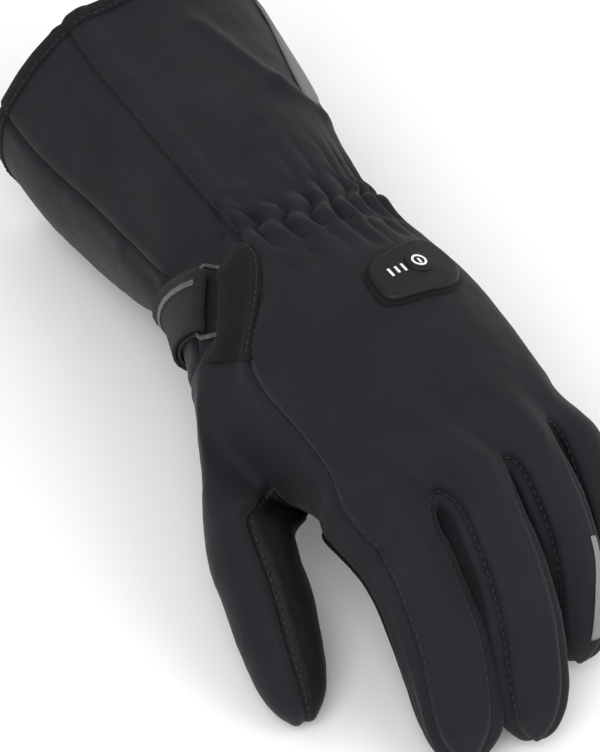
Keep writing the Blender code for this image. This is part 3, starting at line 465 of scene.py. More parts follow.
def refine(points, faces):
    """One round of Catmull-Clark; the first points of the result are the old ones."""
    count = len(points)
    sizes = np.array([len(f) for f in faces])
    here = np.concatenate(faces)
    owner = np.repeat(np.arange(len(faces)), sizes)
    start = np.repeat(np.cumsum(sizes) - sizes, sizes)
    corner = np.arange(len(here)) - start
    after = start + (corner + 1) % sizes[owner]
    before = start + (corner - 1) % sizes[owner]
    centres = np.zeros((len(faces), 3))
    np.add.at(centres, owner, points[here])
    centres /= sizes[:, None]
    ends = np.sort(np.stack((here, here[after]), axis=1), axis=1)
    edges, index, sides = np.unique(ends, axis=0, return_inverse=True, return_counts=True)
    index = index.reshape(-1)
    mids = points[edges].mean(axis=1)
    across = np.zeros((len(edges), 3))
    np.add.at(across, index, centres[owner])
    inner = sides == 2
    edge_points = mids.copy()
    edge_points[inner] = (points[edges[inner]].sum(axis=1) + across[inner]) / 4.0
    valence = np.bincount(edges.ravel(), minlength=count).astype(float)
    used = valence > 0
    valence[~used] = 1.0
    mid_sum = np.zeros((count, 3))
    np.add.at(mid_sum, edges[:, 0], mids)
    np.add.at(mid_sum, edges[:, 1], mids)
    face_sum = np.zeros((count, 3))
    np.add.at(face_sum, here, centres[owner])
    face_n = np.maximum(np.bincount(here, minlength=count), 1)
    v = valence[:, None]
    moved = (face_sum / face_n[:, None] + 2.0 * mid_sum / v + (v - 3.0) * points) / v
    moved[~used] = points[~used]
    rim = edges[~inner]
    rim_sum = np.zeros((count, 3))
    np.add.at(rim_sum, rim[:, 0], points[rim[:, 1]])
    np.add.at(rim_sum, rim[:, 1], points[rim[:, 0]])
    on_rim = np.unique(rim.ravel())
    moved[on_rim] = 0.75 * points[on_rim] + 0.125 * rim_sum[on_rim]
    on_edge = index + count
    quads = np.stack((here, on_edge, owner + count + len(edges), on_edge[before]), axis=1)
    return np.vstack((moved, edge_points, centres)), quads


def vertex_normals(points, faces):
    quads = np.asarray(faces)
    n = np.cross(points[quads[:, 2]] - points[quads[:, 0]], points[quads[:, 3]] - points[quads[:, 1]])
    out = np.zeros((len(points), 3))
    np.add.at(out, quads.ravel(), np.repeat(n, 4, axis=0))
    lengths = np.linalg.norm(out, axis=1)
    lengths[lengths == 0.0] = 1.0
    return out / lengths[:, None]


def fine_skin(level):
    """The glove's skin after several rounds, and the panel that each face belongs to."""
    points, faces, tags = fitted_cage()
    for _ in range(level):
        tags = np.repeat(tags, [len(f) for f in faces])
        points, faces = refine(points, faces)
    return points, faces, tags


def border_edges(quads, tags):
    """Edges where two panels meet, as (a, b, panel, other panel)."""
    ends = np.stack((quads, np.roll(quads, -1, axis=1)), axis=2).reshape(-1, 2)
    key = np.sort(ends, axis=1)
    order = np.lexsort((key[:, 1], key[:, 0]))
    same = np.all(key[order][1:] == key[order][:-1], axis=1)
    first = order[:-1][same]
    second = order[1:][same]
    t1 = tags[first // 4]
    t2 = tags[second // 4]
    cut = t1 != t2
    return [(int(a), int(b), str(p), str(q)) for (a, b), p, q in
            zip(ends[first[cut]], t1[cut], t2[cut])]


def slab_faces(rows, cols, closed=False):
    """Faces of a closed slab made from two grids of points, the top one first."""
    faces = []
    under = rows * cols
    for i in range(rows if closed else rows - 1):
        k = (i + 1) % rows
        for j in range(cols - 1):
            a = i * cols + j
            b = k * cols + j
            faces.append((a, b, b + 1, a + 1))
            faces.append((a + under, a + 1 + under, b + 1 + under, b + under))
        for j, flip in ((0, False), (cols - 1, True)):
            a = i * cols + j
            b = k * cols + j
            side = (b, a, a + under, b + under)
            faces.append(side[::-1] if flip else side)
    if not closed:
        for a in range(cols - 1):
            faces.append((a, a + 1, a + 1 + under, a + under))
            b = (rows - 1) * cols + a
            faces.append((b + 1, b, b + under, b + 1 + under))
    return faces


def tube_faces(count, sides):
    """Faces of a closed tube made from a loop of rings."""
    faces = []
    for i in range(count):
        n = (i + 1) % count
        for k in range(sides):
            m = (k + 1) % sides
            faces.append((i * sides + k, i * sides + m, n * sides + m, n * sides + k))
    return faces


def wall_sizes(points):
    """Wall at each point: thinner in the crotches, where the padding ends."""
    tight = np.array([row[1:] for row in HOLE_FRONT] + list(WEBS)
                     + [row[1:] for row in ROOT_BACK if row[0] in (2, 4, 6)]
                     + [row[1:] for row in ROOT_PALM if row[0] in (12, 14, 16)])
    near = np.linalg.norm(points[:, None, :] - tight[None, :, :], axis=2).min(axis=1)
    return WALL * (1.0 - (1.0 - TIGHT_WALL_SHARE) * np.exp(-(near / TIGHT_REACH) ** 2))


def panel_mesh(points, normals, walls, faces, tags, wanted):
    """One sewn panel as a closed solid: outer skin, inner skin and the cut edge between."""
    own = [f for f, t in zip(faces, tags) if t == wanted]
    directed = {}
    around = {}
    for f in own:
        centre = np.mean([points[v] for v in f], axis=0)
        for a, b in zip(f, f[1:] + f[:1]):
            directed[(a, b)] = f
            around.setdefault(a, []).append(centre)
    border_next = {a: b for a, b in directed if (b, a) not in directed}
    border_prev = {b: a for a, b in border_next.items()}
    used = sorted({v for f in own for v in f})
    place = {v: i for i, v in enumerate(used)}
    shift = np.zeros((len(used), 3))
    for v, after in border_next.items():
        before = border_prev[v]
        inward = [unit(np.cross(normals[v], points[b] - points[a])) for a, b in ((before, v), (v, after))]
        middle = inward[0] + inward[1]
        size = np.linalg.norm(middle)
        if size < FOLDED_TURN:
            middle = unit(points[before] + points[after] - 2.0 * points[v])
            spike = middle @ (sum(around[v]) / len(around[v]) - points[v]) > 0.0
            shift[place[v]] = middle * PANEL_GAP * (SPIKE_SHIFT if spike else -NOTCH_SHIFT)
        else:
            middle = middle / size
            shift[place[v]] = middle * (PANEL_GAP / 2.0) / max(LEAST_TURN, float(middle @ inward[0]))
    thick = walls[used]
    outer = points[used] + shift
    inner = outer - normals[used] * thick[:, None]
    outer[:, 2] = np.maximum(outer[:, 2], 0.0)
    inner[:, 2] = np.maximum(inner[:, 2], thick)
    count = len(used)
    out_faces = [tuple(place[v] for v in f) for f in own]
    out_faces += [tuple(place[v] + count for v in reversed(f)) for f in own]
    for a, b in border_next.items():
        i, j = place[a], place[b]
        if a < b:
            out_faces += [(j, i, j + count), (i, i + count, j + count)]
        else:
            out_faces += [(j, i, i + count), (j, i + count, j + count)]
    return np.vstack((outer, inner)), out_faces


def tree_of(points, faces):
    return BVHTree.FromPolygons([tuple(p) for p in points], [tuple(f) for f in faces])


def run_of(line):
    """Length along a line, up to each of its points."""
    return np.concatenate(([0.0], np.cumsum(np.linalg.norm(np.diff(line, axis=0), axis=1))))


def at_lengths(values, run, want):
    """Points or normals of a line at the wanted lengths along it."""
    return np.stack([np.interp(want, run, values[:, k]) for k in range(values.shape[1])], axis=-1)


def smooth_route(route, count):
    """Evenly spaced points on a Catmull-Rom curve through the route's points."""
    knots = np.array(route, float)
    ends = np.vstack((2.0 * knots[0] - knots[1], knots, 2.0 * knots[-1] - knots[-2]))
    fine = []
    for i in range(len(knots) - 1):
        a, b, c, d = ends[i:i + 4]
        for k in range(CURVE_STEPS):
            t = k / CURVE_STEPS
            fine.append(0.5 * (2.0 * b + (c - a) * t + (2.0 * a - 5.0 * b + 4.0 * c - d) * t * t
                               + (3.0 * b - a - 3.0 * c + d) * t ** 3))
    fine = np.array(fine + [knots[-1]])
    run = run_of(fine)
    return at_lengths(fine, run, np.linspace(0.0, run[-1], count))


def grid_on(tree, grid):
    """The grid's points moved to the nearest places on a surface, and normals of the result."""
    rows, cols = grid.shape[:2]
    base = np.zeros_like(grid)
    facing = np.zeros_like(grid)
    for i in range(rows):
        for j in range(cols):
            place, normal, _, _ = tree.find_nearest(Vector(grid[i, j]))
            base[i, j] = place
            facing[i, j] = normal
    return base, grid_normals(base, facing)


def grid_normals(base, facing):
    along = np.gradient(base, axis=0)
    across = np.gradient(base, axis=1)
    normal = np.cross(along, across)
    normal /= np.linalg.norm(normal, axis=2)[:, :, None]
    flip = np.sign((normal * facing).sum(axis=2))
    flip[flip == 0.0] = 1.0
    return normal * flip[:, :, None]


def slab(base, normal, low, high):
    """Closed sheet between two offsets of a grid."""
    rows, cols = base.shape[:2]
    grids = [(base + normal * h[:, :, None]).reshape(-1, 3) for h in (high, low)]
    return np.vstack(grids), slab_faces(rows, cols)


def strip_between(first, second, rows, shares):
    a = smooth_route(first, rows)
    b = smooth_route(second, rows)
    return np.stack([a * (1.0 - s) + b * s for s in shares], axis=1)


def drop_on(tree, x, y):
    """Place and face normal where a vertical line from above meets a surface."""
    place, normal, _, _ = tree.ray_cast(Vector((x, y, DROP_HEIGHT)), Vector((0.0, 0.0, -1.0)))
    return np.array(place), np.array(normal)


def plate(tree, outline, facing, shares, low, heights):
    """Closed plate on a surface: rings of one outline drawn in towards its middle."""
    outline = np.array(outline, float)
    middle = outline.mean(axis=0)
    count = len(outline)
    top = []
    bottom = []
    for share, height in zip(shares + (0.0,), heights + (heights[-1],)):
        ring = [middle] if share == 0.0 else middle + (outline - middle) * share
        for x, y in ring:
            place = drop_on(tree, x, y)[0]
            top.append(place + facing * height)
            bottom.append(place + facing * low)
    size = len(top)
    faces = []
    for r in range(len(shares) - 1):
        for i in range(count):
            k = (i + 1) % count
            a, b = r * count + i, r * count + k
            c, d = b + count, a + count
            faces += [(a, b, c, d), (d + size, c + size, b + size, a + size)]
    last = (len(shares) - 1) * count
    hub = size - 1
    for i in range(count):
        k = (i + 1) % count
        faces.append((last + i, last + k, hub))
        faces.append((last + k + size, last + i + size, hub + size))
        faces.append((k, i, i + size, k + size))
    return np.vstack((top, bottom)), faces


def ring_plate(tree, centre, facing, outer, inner, low, high):
    """Flat ring on a surface."""
    spots = zip(circle(centre, outer, FINE_SIDES), circle(centre, inner, FINE_SIDES))
    grid = np.array([[drop_on(tree, x, y)[0] for x, y in pair] for pair in spots])
    top = (grid + facing * high).reshape(-1, 3)
    bottom = (grid + facing * low).reshape(-1, 3)
    return np.vstack((top, bottom)), slab_faces(FINE_SIDES, 2, closed=True)


def circle(centre, radius, sides):
    turn = [2.0 * math.pi * i / sides for i in range(sides)]
    return [(centre[0] + radius * math.cos(a), centre[1] + radius * math.sin(a)) for a in turn]


def box_outline(x, y, length, width):
    return [(x - length / 2.0, y - width / 2.0), (x + length / 2.0, y - width / 2.0),
            (x + length / 2.0, y + width / 2.0), (x - length / 2.0, y + width / 2.0)]


def round_corner(p, before, after, radius, steps):
    """Points of a round corner at p, with the directions of its two sides given."""
    out = []
    for k in range(steps + 1):
        t = k / steps
        out.append((1 - t) ** 2 * (p + before * radius) + 2 * t * (1 - t) * p
                   + t * t * (p + after * radius))
    return out


def rounded_outline(corners, radius, steps):
    """Corner points joined by straight lines with round corners."""
    corners = [np.array(c, float) for c in corners]
    out = []
    for i, p in enumerate(corners):
        after = corners[(i + 1) % len(corners)]
        out += round_corner(p, unit(corners[i - 1] - p), unit(after - p), radius, steps)
    return np.array(out)


def evened(outline, count):
    """The same closed outline with its points at equal steps."""
    ends = np.vstack((outline, outline[:1]))
    run = run_of(ends)
    return at_lengths(ends, run, np.linspace(0.0, run[-1], count + 1)[:-1])


def wire(path, radius, sides):
    """Closed round wire along a nearly flat path."""
    path = np.array(path, float)
    count = len(path)
    ahead = np.roll(path, -1, axis=0) - np.roll(path, 1, axis=0)
    middle = path.mean(axis=0)
    up = unit(sum(np.cross(path[i] - middle, path[(i + 1) % count] - middle) for i in range(count)))
    points = []
    for i in range(count):
        t = unit(ahead[i])
        side = unit(np.cross(up, t))
        lift = np.cross(t, side)
        for k in range(sides):
            a = 2.0 * math.pi * k / sides
            points.append(path[i] + radius * (side * math.cos(a) + lift * math.sin(a)))
    return np.array(points), tube_faces(count, sides)


def mouth_loop(faces):
    """Points round the open end of the cuff, in order."""
    directed = set()
    for f in faces:
        for pair in zip(f, f[1:] + f[:1]):
            directed.add(pair)
    after = {a: b for a, b in directed if (b, a) not in directed}
    loop = [min(after)]
    while after[loop[-1]] != loop[0]:
        loop.append(after[loop[-1]])
    return loop


def rim_inward(points, faces, loop):
    """Unit vectors from the rim's points into the skin."""
    rim = set(loop)
    inward = {}
    for f in faces:
        for a, b in zip(f, f[1:] + f[:1]):
            for v, w in ((a, b), (b, a)):
                if v in rim and w not in rim:
                    inward[v] = unit(points[w] - points[v])
    return inward


def cuff_binding(points, normals, walls, faces, loop):
    """Folded edging that wraps the cut edge of the cuff."""
    inward = rim_inward(points, faces, loop)
    lip = BINDING_GAP + BINDING_THICK
    rows = []
    for v in loop:
        deep = walls[v]
        profile = (
            (BINDING_LEG, BINDING_GAP), (BINDING_LEG, lip), (-BINDING_GAP, lip), (-lip, 0.0),
            (-lip, -deep), (-BINDING_GAP, -deep - lip), (BINDING_LEG, -deep - lip),
            (BINDING_LEG, -deep - BINDING_GAP), (-BINDING_GAP, -deep - BINDING_GAP),
            (-BINDING_GAP, BINDING_GAP),
        )
        rows.append([points[v] + inward[v] * u + normals[v] * h for u, h in profile])
    return np.array(rows).reshape(-1, 3), tube_faces(len(rows), len(rows[0]))


def strap_ground(tree, rows, cols):
    """Shell points and normals under the strap, palm end first, and the length along it."""
    shares = [j / (cols - 1) for j in range(cols)]
    base, normal = grid_on(tree, strip_between(STRAP_UPPER, STRAP_LOWER, rows, shares))
    return base, normal, run_of(base[:, cols // 2])


def on_strap(ground, s, t, h):
    """Point at length s along the strap, share t across it and height h over the shell."""
    base, normal, run = ground
    i = min(max(int(np.searchsorted(run, s)) - 1, 0), len(run) - 2)
    u = (s - run[i]) / (run[i + 1] - run[i])
    cols = base.shape[1] - 1
    j = min(max(int(t * cols), 0), cols - 1)
    w = t * cols - j

    def mix(g):
        first = g[i, j] * (1.0 - w) + g[i, j + 1] * w
        second = g[i + 1, j] * (1.0 - w) + g[i + 1, j + 1] * w
        return first * (1.0 - u) + second * u
    return mix(base) + unit(mix(normal)) * h


def strap_levels():
    """Heights over the shell of the strap's under layer, the wire's centre and the top layer."""
    under = BENT_SEAT + STRAP_THICK / 2.0
    bar = BENT_SEAT + STRAP_THICK + STACK_GAP + WIRE_RADIUS
    top = under + STRAP_THICK + STACK_GAP
    return under, bar, top


def strap_line(length):
    """Middle line of the strap as (along, above): up to the loop, round the wire and back."""
    under, bar, top = strap_levels()
    turn = bar - under
    line = [(length * k / UNDER_STEPS, under) for k in range(UNDER_STEPS)]
    for k in range(TURN_STEPS + 1):
        a = math.pi * (k / TURN_STEPS - 0.5)
        line.append((length + turn * math.cos(a), bar + turn * math.sin(a)))
    free = length - STRAP_OVERLAP
    for k in range(1, FREE_STEPS + 1):
        share = k / FREE_STEPS
        fall = math.exp(-(share * STRAP_FALL[0]) ** STRAP_FALL[1])
        line.append((length + (free - length) * share, top + (bar + turn - top) * fall))
    return line


def strap_sides(line):
    """Unit vectors square to the strap's middle line, on its inner side once it is folded."""
    ahead = np.gradient(line, axis=0)
    ahead /= np.linalg.norm(ahead, axis=1)[:, None]
    return np.stack((-ahead[:, 1], ahead[:, 0]), axis=1)


# Looks: relief of the cloth, in millimetres
SKIN_LEVEL = 4
SEAM_DEPTH = 1.0
SEAM_WIDTH = 1.5
SEAM_ROLL = 0.45
SEAM_ROLL_AT = 3.4
ELASTIC_MIDDLE = 9.0
ELASTIC_REACH = 12.0
PUFF_ROW = 11.0
PUFF_DEPTH = 3.9
PUFF_FLOOR = 0.5
DRAWN_DEPTH = 2.0
DRAWN_REACH = 24.0

# As seen: longer strap, place of its stripe, softer pad corners, slimmer frame, sunk binding
STRAP_MORE = 2.6
STRIPE_SEEN = (0.19, 0.28)
PAD_CORNER_SEEN = 7.0
FRAME_SPREAD_SEEN = 1.105
BINDING_SUNK = 0.9

# Smaller folds: start x y z, end x y z, height and half width
SMALL_FOLDS = (
    ((-2.2, -19.6, 89.5), (7.2, -24.3, 84.7), -1.9, 2.4),
    ((7.2, -24.3, 84.7), (18.0, -29.9, 83.1), -1.4, 2.4),
    ((-2.7, -13.9, 91.1), (14.4, -20.5, 86.9), -1.1, 2.2),
    ((-27.7, 13.4, 93.0), (-9.2, -5.1, 92.5), -1.3, 4.0),
    ((-89.4, 27.9, 91.9), (-47.8, 35.2, 88.7), 1.1, 3.2),
    ((-47.8, 35.2, 88.7), (-35.0, 46.4, 78.0), 0.9, 3.2),
    ((-30.0, -30.0, 86.0), (-6.0, -34.0, 82.0), 0.9, 6.0),
    ((-25.0, -44.3, 62.9), (-5.3, -44.7, 63.7), -1.4, 3.0),
    ((4.4, -43.0, 65.6), (0.7, -25.7, 85.3), -1.0, 3.0),
    ((130.4, -46.0, 70.0), (130.0, -32.0, 79.0), -1.0, 4.0),
    ((147.7, -57.0, 60.0), (146.0, -44.6, 68.5), -1.5, 2.2),
    ((112.0, -60.0, 44.0), (120.0, -50.0, 50.0), 0.8, 4.0),
    ((150.0, -28.0, 64.0), (156.0, -34.0, 62.0), -0.6, 4.0),
    ((68.3, -64.2, 56.9), (90.4, -74.0, 52.7), -0.8, 5.0),
    ((27.0, -2.0, 91.0), (45.0, -8.0, 91.0), -1.1, 2.6),
    ((26.0, 14.0, 90.0), (44.0, 18.0, 89.0), -1.0, 2.6),
    ((24.0, 26.0, 85.0), (40.0, 33.0, 84.0), -1.2, 2.6),
    ((150.0, -26.0, 56.0), (172.0, -27.5, 38.0), 0.7, 6.0),
    ((176.0, -28.5, 34.0), (192.0, -33.5, 17.0), 1.4, 8.0),
    ((192.0, -33.5, 17.0), (200.0, -36.5, 8.0), 1.9, 8.0),
)

# Width of the roll beside a seam, and height over the floor where the relief fades in
SEAM_ROLL_WIDTH = 1.8
FLOOR_FADE = 3.0

# Soft noise: amount, size of its lumps and seed
LARGE_LUMPS = (0.5, 16.0, 1)
SMALL_LUMPS = (0.16, 5.0, 2)
TURN_WANDER = (0.25, 12.0, 4)
ROW_WANDER = (4.0, 15.0, 5)
DEPTH_WANDER = (0.9, 19.0, 6)

# Form of the puffs, and of the creases drawn out on both sides of them
SEAM_FADE = 0.6
PUFF_STAGGER = 0.26
STAGGER_SHARPNESS = 1.3
PUFF_POWER = 0.75
ROW_DEPTH = 0.28
ROW_POWER = 0.7
DRAWN_STAGGER = 0.25
DRAWN_POWER = 0.7

# Strap, stripe, wire and sewn-on pieces as seen
GROUND_ROWS = 60
LONG_ROWS = 44
STRAP_COLUMNS = 13
STRIPE_COLUMNS = 4
STRIPE_CLEARANCE = 0.05
BAR_SHARES = (-0.10, 0.25, 0.5, 0.75, 1.10)
FAR_SHARES = (1.0, 0.66, 0.33, 0.0)
WIRE_SIDES = 12
CORNER_STEPS = 6
STRIP_SEAT = 0.3
NEXT_DROP = 0.35
SIDE_COLUMNS = 17
SIDE_SUNK = 0.3
SIDE_RISE_START = 0.3
SIDE_RISE_REACH = 0.45
SIDE_RISE_MORE = 0.7
SIDE_END = 0.95
SIDE_END_RISE = 1.2
SIDE_TIP_ROWS = 12.0
SIDE_BAND = 0.2
SIDE_BAND_THICK = 0.5
SIDE_THICK = 1.3
SIDE_ROUND = 0.5
BINDING_STITCH_INSET = 1.4
PAD_SIDES = 72
FRAME_LOW = -0.4
PAD_DIP = 0.7
BUTTON_LOW = 0.05
FINE_SIDES = 48
PRINT = (0.03, 0.2)

# Stitches: name, panel, the panels across the seam and the distance from it
STITCH_ROWS = (
    ("stitches_back_seam", "back_panel", ("cuff_side_panel", "thumb_side_panel"), 2.2),
    ("stitches_fingers", "back_panel", ("fourchette_1", "fourchette_2", "fourchette_3"), 1.9),
    ("stitches_thumb", "thumb_palm_panel", ("thumb_side_panel",), 1.8),
)
ROW_STEP = 1.5
SHORTEST_ROW = 6
STITCH_LENGTH = 2.3
STITCH_GAP = 0.7
STITCH_RADIUS = 0.24
STITCH_LIFT = 0.05
STITCH_LOOK = 0.5
STITCH_SIDES = 6
# Rings of a stitch: place along it, share of its radius and rise
STITCH_RINGS = (
    (-0.5, 0.35, -0.55), (-0.32, 1.0, 0.1), (0.0, 1.0, 0.35), (0.32, 1.0, 0.1), (0.5, 0.35, -0.55),
)

# Camera and lights, in metres: name, place, aim, size and power of each light
CAMERA_PLACE = (0.73924, -0.42372, 0.77590)
CAMERA_RIGHT = (0.5446, 0.8387, 0.0)
CAMERA_BACK = (0.593, -0.385, 0.707)
LENS = 140.0
SENSOR = 36.0
FLOOR_HALF = 6.0
SKY_STRENGTH = 0.78
LIGHTS = (
    ("key", (0.75, -0.75, 1.2), (0.1, 0.0, 0.05), 1.0, 11.5),
    ("fill", (1.2, 0.6, 1.1), (0.1, 0.0, 0.05), 1.2, 8.0),
    ("back", (-1.1, 0.3, 1.1), (0.0, 0.0, 0.05), 1.0, 0.6),
)


def gathers(points):
    """Puffs in staggered rows that the elastic at the wrist draws the cloth into."""
    turn = wrist_turn(points) + wander(points, *TURN_WANDER)
    lean = GATHER_LEAN * (points[:, 2] - SECTIONS[GATHER_RING][2])
    x = points[:, 0] - lean - ELASTIC_MIDDLE + wander(points, *ROW_WANDER)
    fade = np.clip(turn / SEAM_FADE, 0.0, 1.0) * np.clip(EDGE - turn, 0.0, 1.0)
    wave = np.sin(math.pi * x / PUFF_ROW)
    crease = np.abs(np.sin(math.pi * (turn + PUFF_STAGGER * np.tanh(STAGGER_SHARPNESS * wave))))
    rows = 1.0 - ROW_DEPTH + ROW_DEPTH * np.abs(wave) ** ROW_POWER
    puffs = PUFF_DEPTH * (crease ** PUFF_POWER * rows - PUFF_FLOOR)
    inside = np.exp(-(np.abs(x) / ELASTIC_REACH) ** 4)
    long_crease = np.abs(np.sin(math.pi * (turn + DRAWN_STAGGER * np.sign(x))))
    drawn = DRAWN_DEPTH * (long_crease ** DRAWN_POWER - PUFF_FLOOR)
    outside = np.exp(-(x / DRAWN_REACH) ** 2) * (1.0 - inside)
    uneven = 1.0 + wander(points, *DEPTH_WANDER)
    return fade * uneven * (puffs * inside + drawn * outside)


def wander(points, amount, size, seed):
    """Soft noise at each point, from lumps of one size."""
    shift = Vector((seed * 13.7, seed * 7.1, seed * 3.3))
    return amount * np.array([noise.noise(Vector(p) / size + shift) for p in points])


def relief(points, normals, to_seam):
    """The skin's points moved by its seams, gathers, folds and unevenness."""
    height = -SEAM_DEPTH * np.exp(-(to_seam / SEAM_WIDTH) ** 2)
    height += SEAM_ROLL * np.exp(-((to_seam - SEAM_ROLL_AT) / SEAM_ROLL_WIDTH) ** 2)
    height += gathers(points)
    for a, b, rise, half in FOLDS + SMALL_FOLDS:
        height += rise * np.exp(-(segment_distance(points, a, b) / half) ** 2)
    height += wander(points, *LARGE_LUMPS) + wander(points, *SMALL_LUMPS)
    clear = np.clip(points[:, 2] / FLOOR_FADE, 0.0, 1.0)
    shaped = points + normals * (height * clear)[:, None]
    shaped[:, 2] = np.maximum(shaped[:, 2], 0.0)
    return shaped


def put(points):
    return (np.asarray(points, float) - np.array((REST_X, REST_Y, 0.0))) * MM


def link_object(name, data):
    obj = bpy.data.objects.new(name, data)
    bpy.context.scene.collection.objects.link(obj)
    return obj


def add_piece(name, points, faces, material, smooth=True):
    points = np.asarray(points, float)
    if signed_volume(points, faces) < 0.0:
        faces = [tuple(reversed(f)) for f in faces]
    mesh = bpy.data.meshes.new(name)
    mesh.from_pydata(put(points).tolist(), [], [tuple(int(v) for v in f) for f in faces])
    mesh.validate()
    mesh.polygons.foreach_set("use_smooth", [smooth] * len(mesh.polygons))
    mesh.materials.append(material)
    obj = link_object(name, mesh)
    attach(obj, "root")
    return obj


def add_visible(node, mesh, material, smooth=True):
    """The looks of one CAD node."""
    obj = add_piece("visible_" + node, *mesh, material, smooth)
    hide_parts(node)
    return obj


def signed_volume(points, faces):
    """Six times the volume inside the faces, below zero where they face inwards."""
    total = 0.0
    sizes = {}
    for f in faces:
        sizes.setdefault(len(f), []).append(f)
    for size, group in sizes.items():
        g = np.array(group)
        for i in range(1, size - 1):
            a, b, c = points[g[:, 0]], points[g[:, i]], points[g[:, i + 1]]
            total += float((a * np.cross(b, c)).sum())
    return total


class Nodes:
    """Short way to write a material's node tree."""

    def __init__(self, name):
        self.material = bpy.data.materials.new(name)
        self.material.use_nodes = True
        self.tree = self.material.node_tree
        self.shader = self.tree.nodes["Principled BSDF"]
        self.coords = self.add("ShaderNodeTexCoord").outputs["Object"]

    def add(self, kind, **settings):
        node = self.tree.nodes.new(kind)
        for key, value in settings.items():
            if key.startswith("_"):
                setattr(node, key[1:], value)
            else:
                node.inputs[key].default_value = value
        return node

    def link(self, source, target):
        self.tree.links.new(source, target)

    def noise(self, scale, detail=3.0, roughness=0.6):
        n = self.add("ShaderNodeTexNoise", Scale=scale, Detail=detail, Roughness=roughness)
        self.link(self.coords, n.inputs["Vector"])
        return n.outputs["Fac"]

    def wave(self, scale, direction, distortion=0.6):
        n = self.add("ShaderNodeTexWave", Scale=scale, Distortion=distortion, _bands_direction=direction)
        self.link(self.coords, n.inputs["Vector"])
        return n.outputs["Fac"]

    def cells(self, scale):
        n = self.add("ShaderNodeTexVoronoi", Scale=scale)
        self.link(self.coords, n.inputs["Vector"])
        return n.outputs["Distance"]

    def mix(self, a, b, share=0.5):
        n = self.add("ShaderNodeMath", _operation="MULTIPLY_ADD")
        self.link(a, n.inputs[0])
        n.inputs[1].default_value = share
        self.link(b, n.inputs[2])
        return n.outputs[0]

    def ramp(self, source, dark, light, low=0.3, high=0.7):
        n = self.add("ShaderNodeValToRGB")
        n.color_ramp.elements[0].position = low
        n.color_ramp.elements[0].color = (*dark, 1.0)
        n.color_ramp.elements[1].position = high
        n.color_ramp.elements[1].color = (*light, 1.0)
        self.link(source, n.inputs["Fac"])
        return n.outputs["Color"]

    def colour(self, source, dark, light, low=0.3, high=0.7):
        self.link(self.ramp(source, dark, light, low, high), self.shader.inputs["Base Color"])

    def roughness(self, source, low, high):
        n = self.add("ShaderNodeMapRange")
        n.inputs["To Min"].default_value = low
        n.inputs["To Max"].default_value = high
        self.link(source, n.inputs["Value"])
        self.link(n.outputs["Result"], self.shader.inputs["Roughness"])

    def bump(self, source, strength, distance):
        n = self.add("ShaderNodeBump", Strength=strength, Distance=distance)
        self.link(source, n.inputs["Height"])
        previous = self.shader.inputs["Normal"].links
        if previous:
            self.link(previous[0].from_socket, n.inputs["Normal"])
        self.link(n.outputs["Normal"], self.shader.inputs["Normal"])

    def values(self, **settings):
        for key, value in settings.items():
            self.shader.inputs[key.replace("_", " ")].default_value = value


def shade(colour, factor):
    return tuple(c * factor for c in colour)


def softshell_material():
    m = Nodes("softshell_cloth")
    base = (0.0066, 0.0079, 0.0102)
    m.colour(m.noise(60.0, 4.0), shade(base, 0.86), shade(base, 1.16))
    m.roughness(m.noise(900.0, 2.0), 0.62, 0.80)
    weave = m.mix(m.wave(900.0, "X"), m.wave(900.0, "Y"), 1.0)
    m.bump(weave, 0.18, 0.00012)
    m.bump(m.noise(420.0, 3.0), 0.22, 0.0002)
    m.values(Sheen_Weight=0.05)
    m.values(Sheen_Roughness=0.5)
    m.values(Specular_IOR_Level=0.18)
    return m.material


def leather_material():
    m = Nodes("palm_leather")
    base = (0.0030, 0.0027, 0.0022)
    m.colour(m.noise(140.0, 5.0), shade(base, 0.75), shade(base, 1.4))
    m.roughness(m.noise(500.0, 3.0), 0.5, 0.72)
    m.bump(m.cells(900.0), 0.35, 0.0003)
    m.bump(m.noise(1600.0, 2.0), 0.2, 0.0001)
    m.values(Specular_IOR_Level=0.18)
    return m.material


def webbing_material(name, base, ribs):
    m = Nodes(name)
    m.colour(m.noise(250.0, 4.0), shade(base, 0.8), shade(base, 1.25))
    m.roughness(m.noise(1200.0, 2.0), 0.68, 0.88)
    weave = m.mix(m.wave(ribs, "DIAGONAL", 0.2), m.wave(ribs, "Z", 0.2), 1.0)
    m.bump(weave, 0.4, 0.0003)
    m.values(Sheen_Weight=0.04)
    m.values(Specular_IOR_Level=0.16)
    return m.material


def reflective_material(name, base):
    m = Nodes(name)
    m.colour(m.cells(1800.0), shade(base, 0.8), shade(base, 1.15), 0.1, 0.6)
    m.roughness(m.noise(1400.0, 2.0), 0.38, 0.55)
    m.bump(m.cells(1800.0), 0.25, 0.0001)
    m.values(Specular_IOR_Level=0.5)
    return m.material


def rubber_material(name, base):
    m = Nodes(name)
    m.colour(m.noise(300.0, 4.0), shade(base, 0.9), shade(base, 1.12))
    m.roughness(m.noise(800.0, 3.0), 0.5, 0.64)
    m.bump(m.noise(2200.0, 2.0), 0.18, 0.0001)
    m.values(Specular_IOR_Level=0.25)
    return m.material


def print_material():
    m = Nodes("printed_mark")
    m.colour(m.noise(900.0, 3.0), (0.72, 0.72, 0.72), (0.86, 0.86, 0.86))
    m.roughness(m.noise(900.0, 2.0), 0.5, 0.65)
    return m.material


def steel_material():
    m = Nodes("coated_wire")
    m.colour(m.noise(700.0, 3.0), (0.05, 0.05, 0.052), (0.12, 0.12, 0.125))
    m.roughness(m.noise(1500.0, 2.0), 0.3, 0.45)
    m.bump(m.noise(3000.0, 2.0), 0.1, 0.00005)
    m.values(Metallic=0.9)
    return m.material


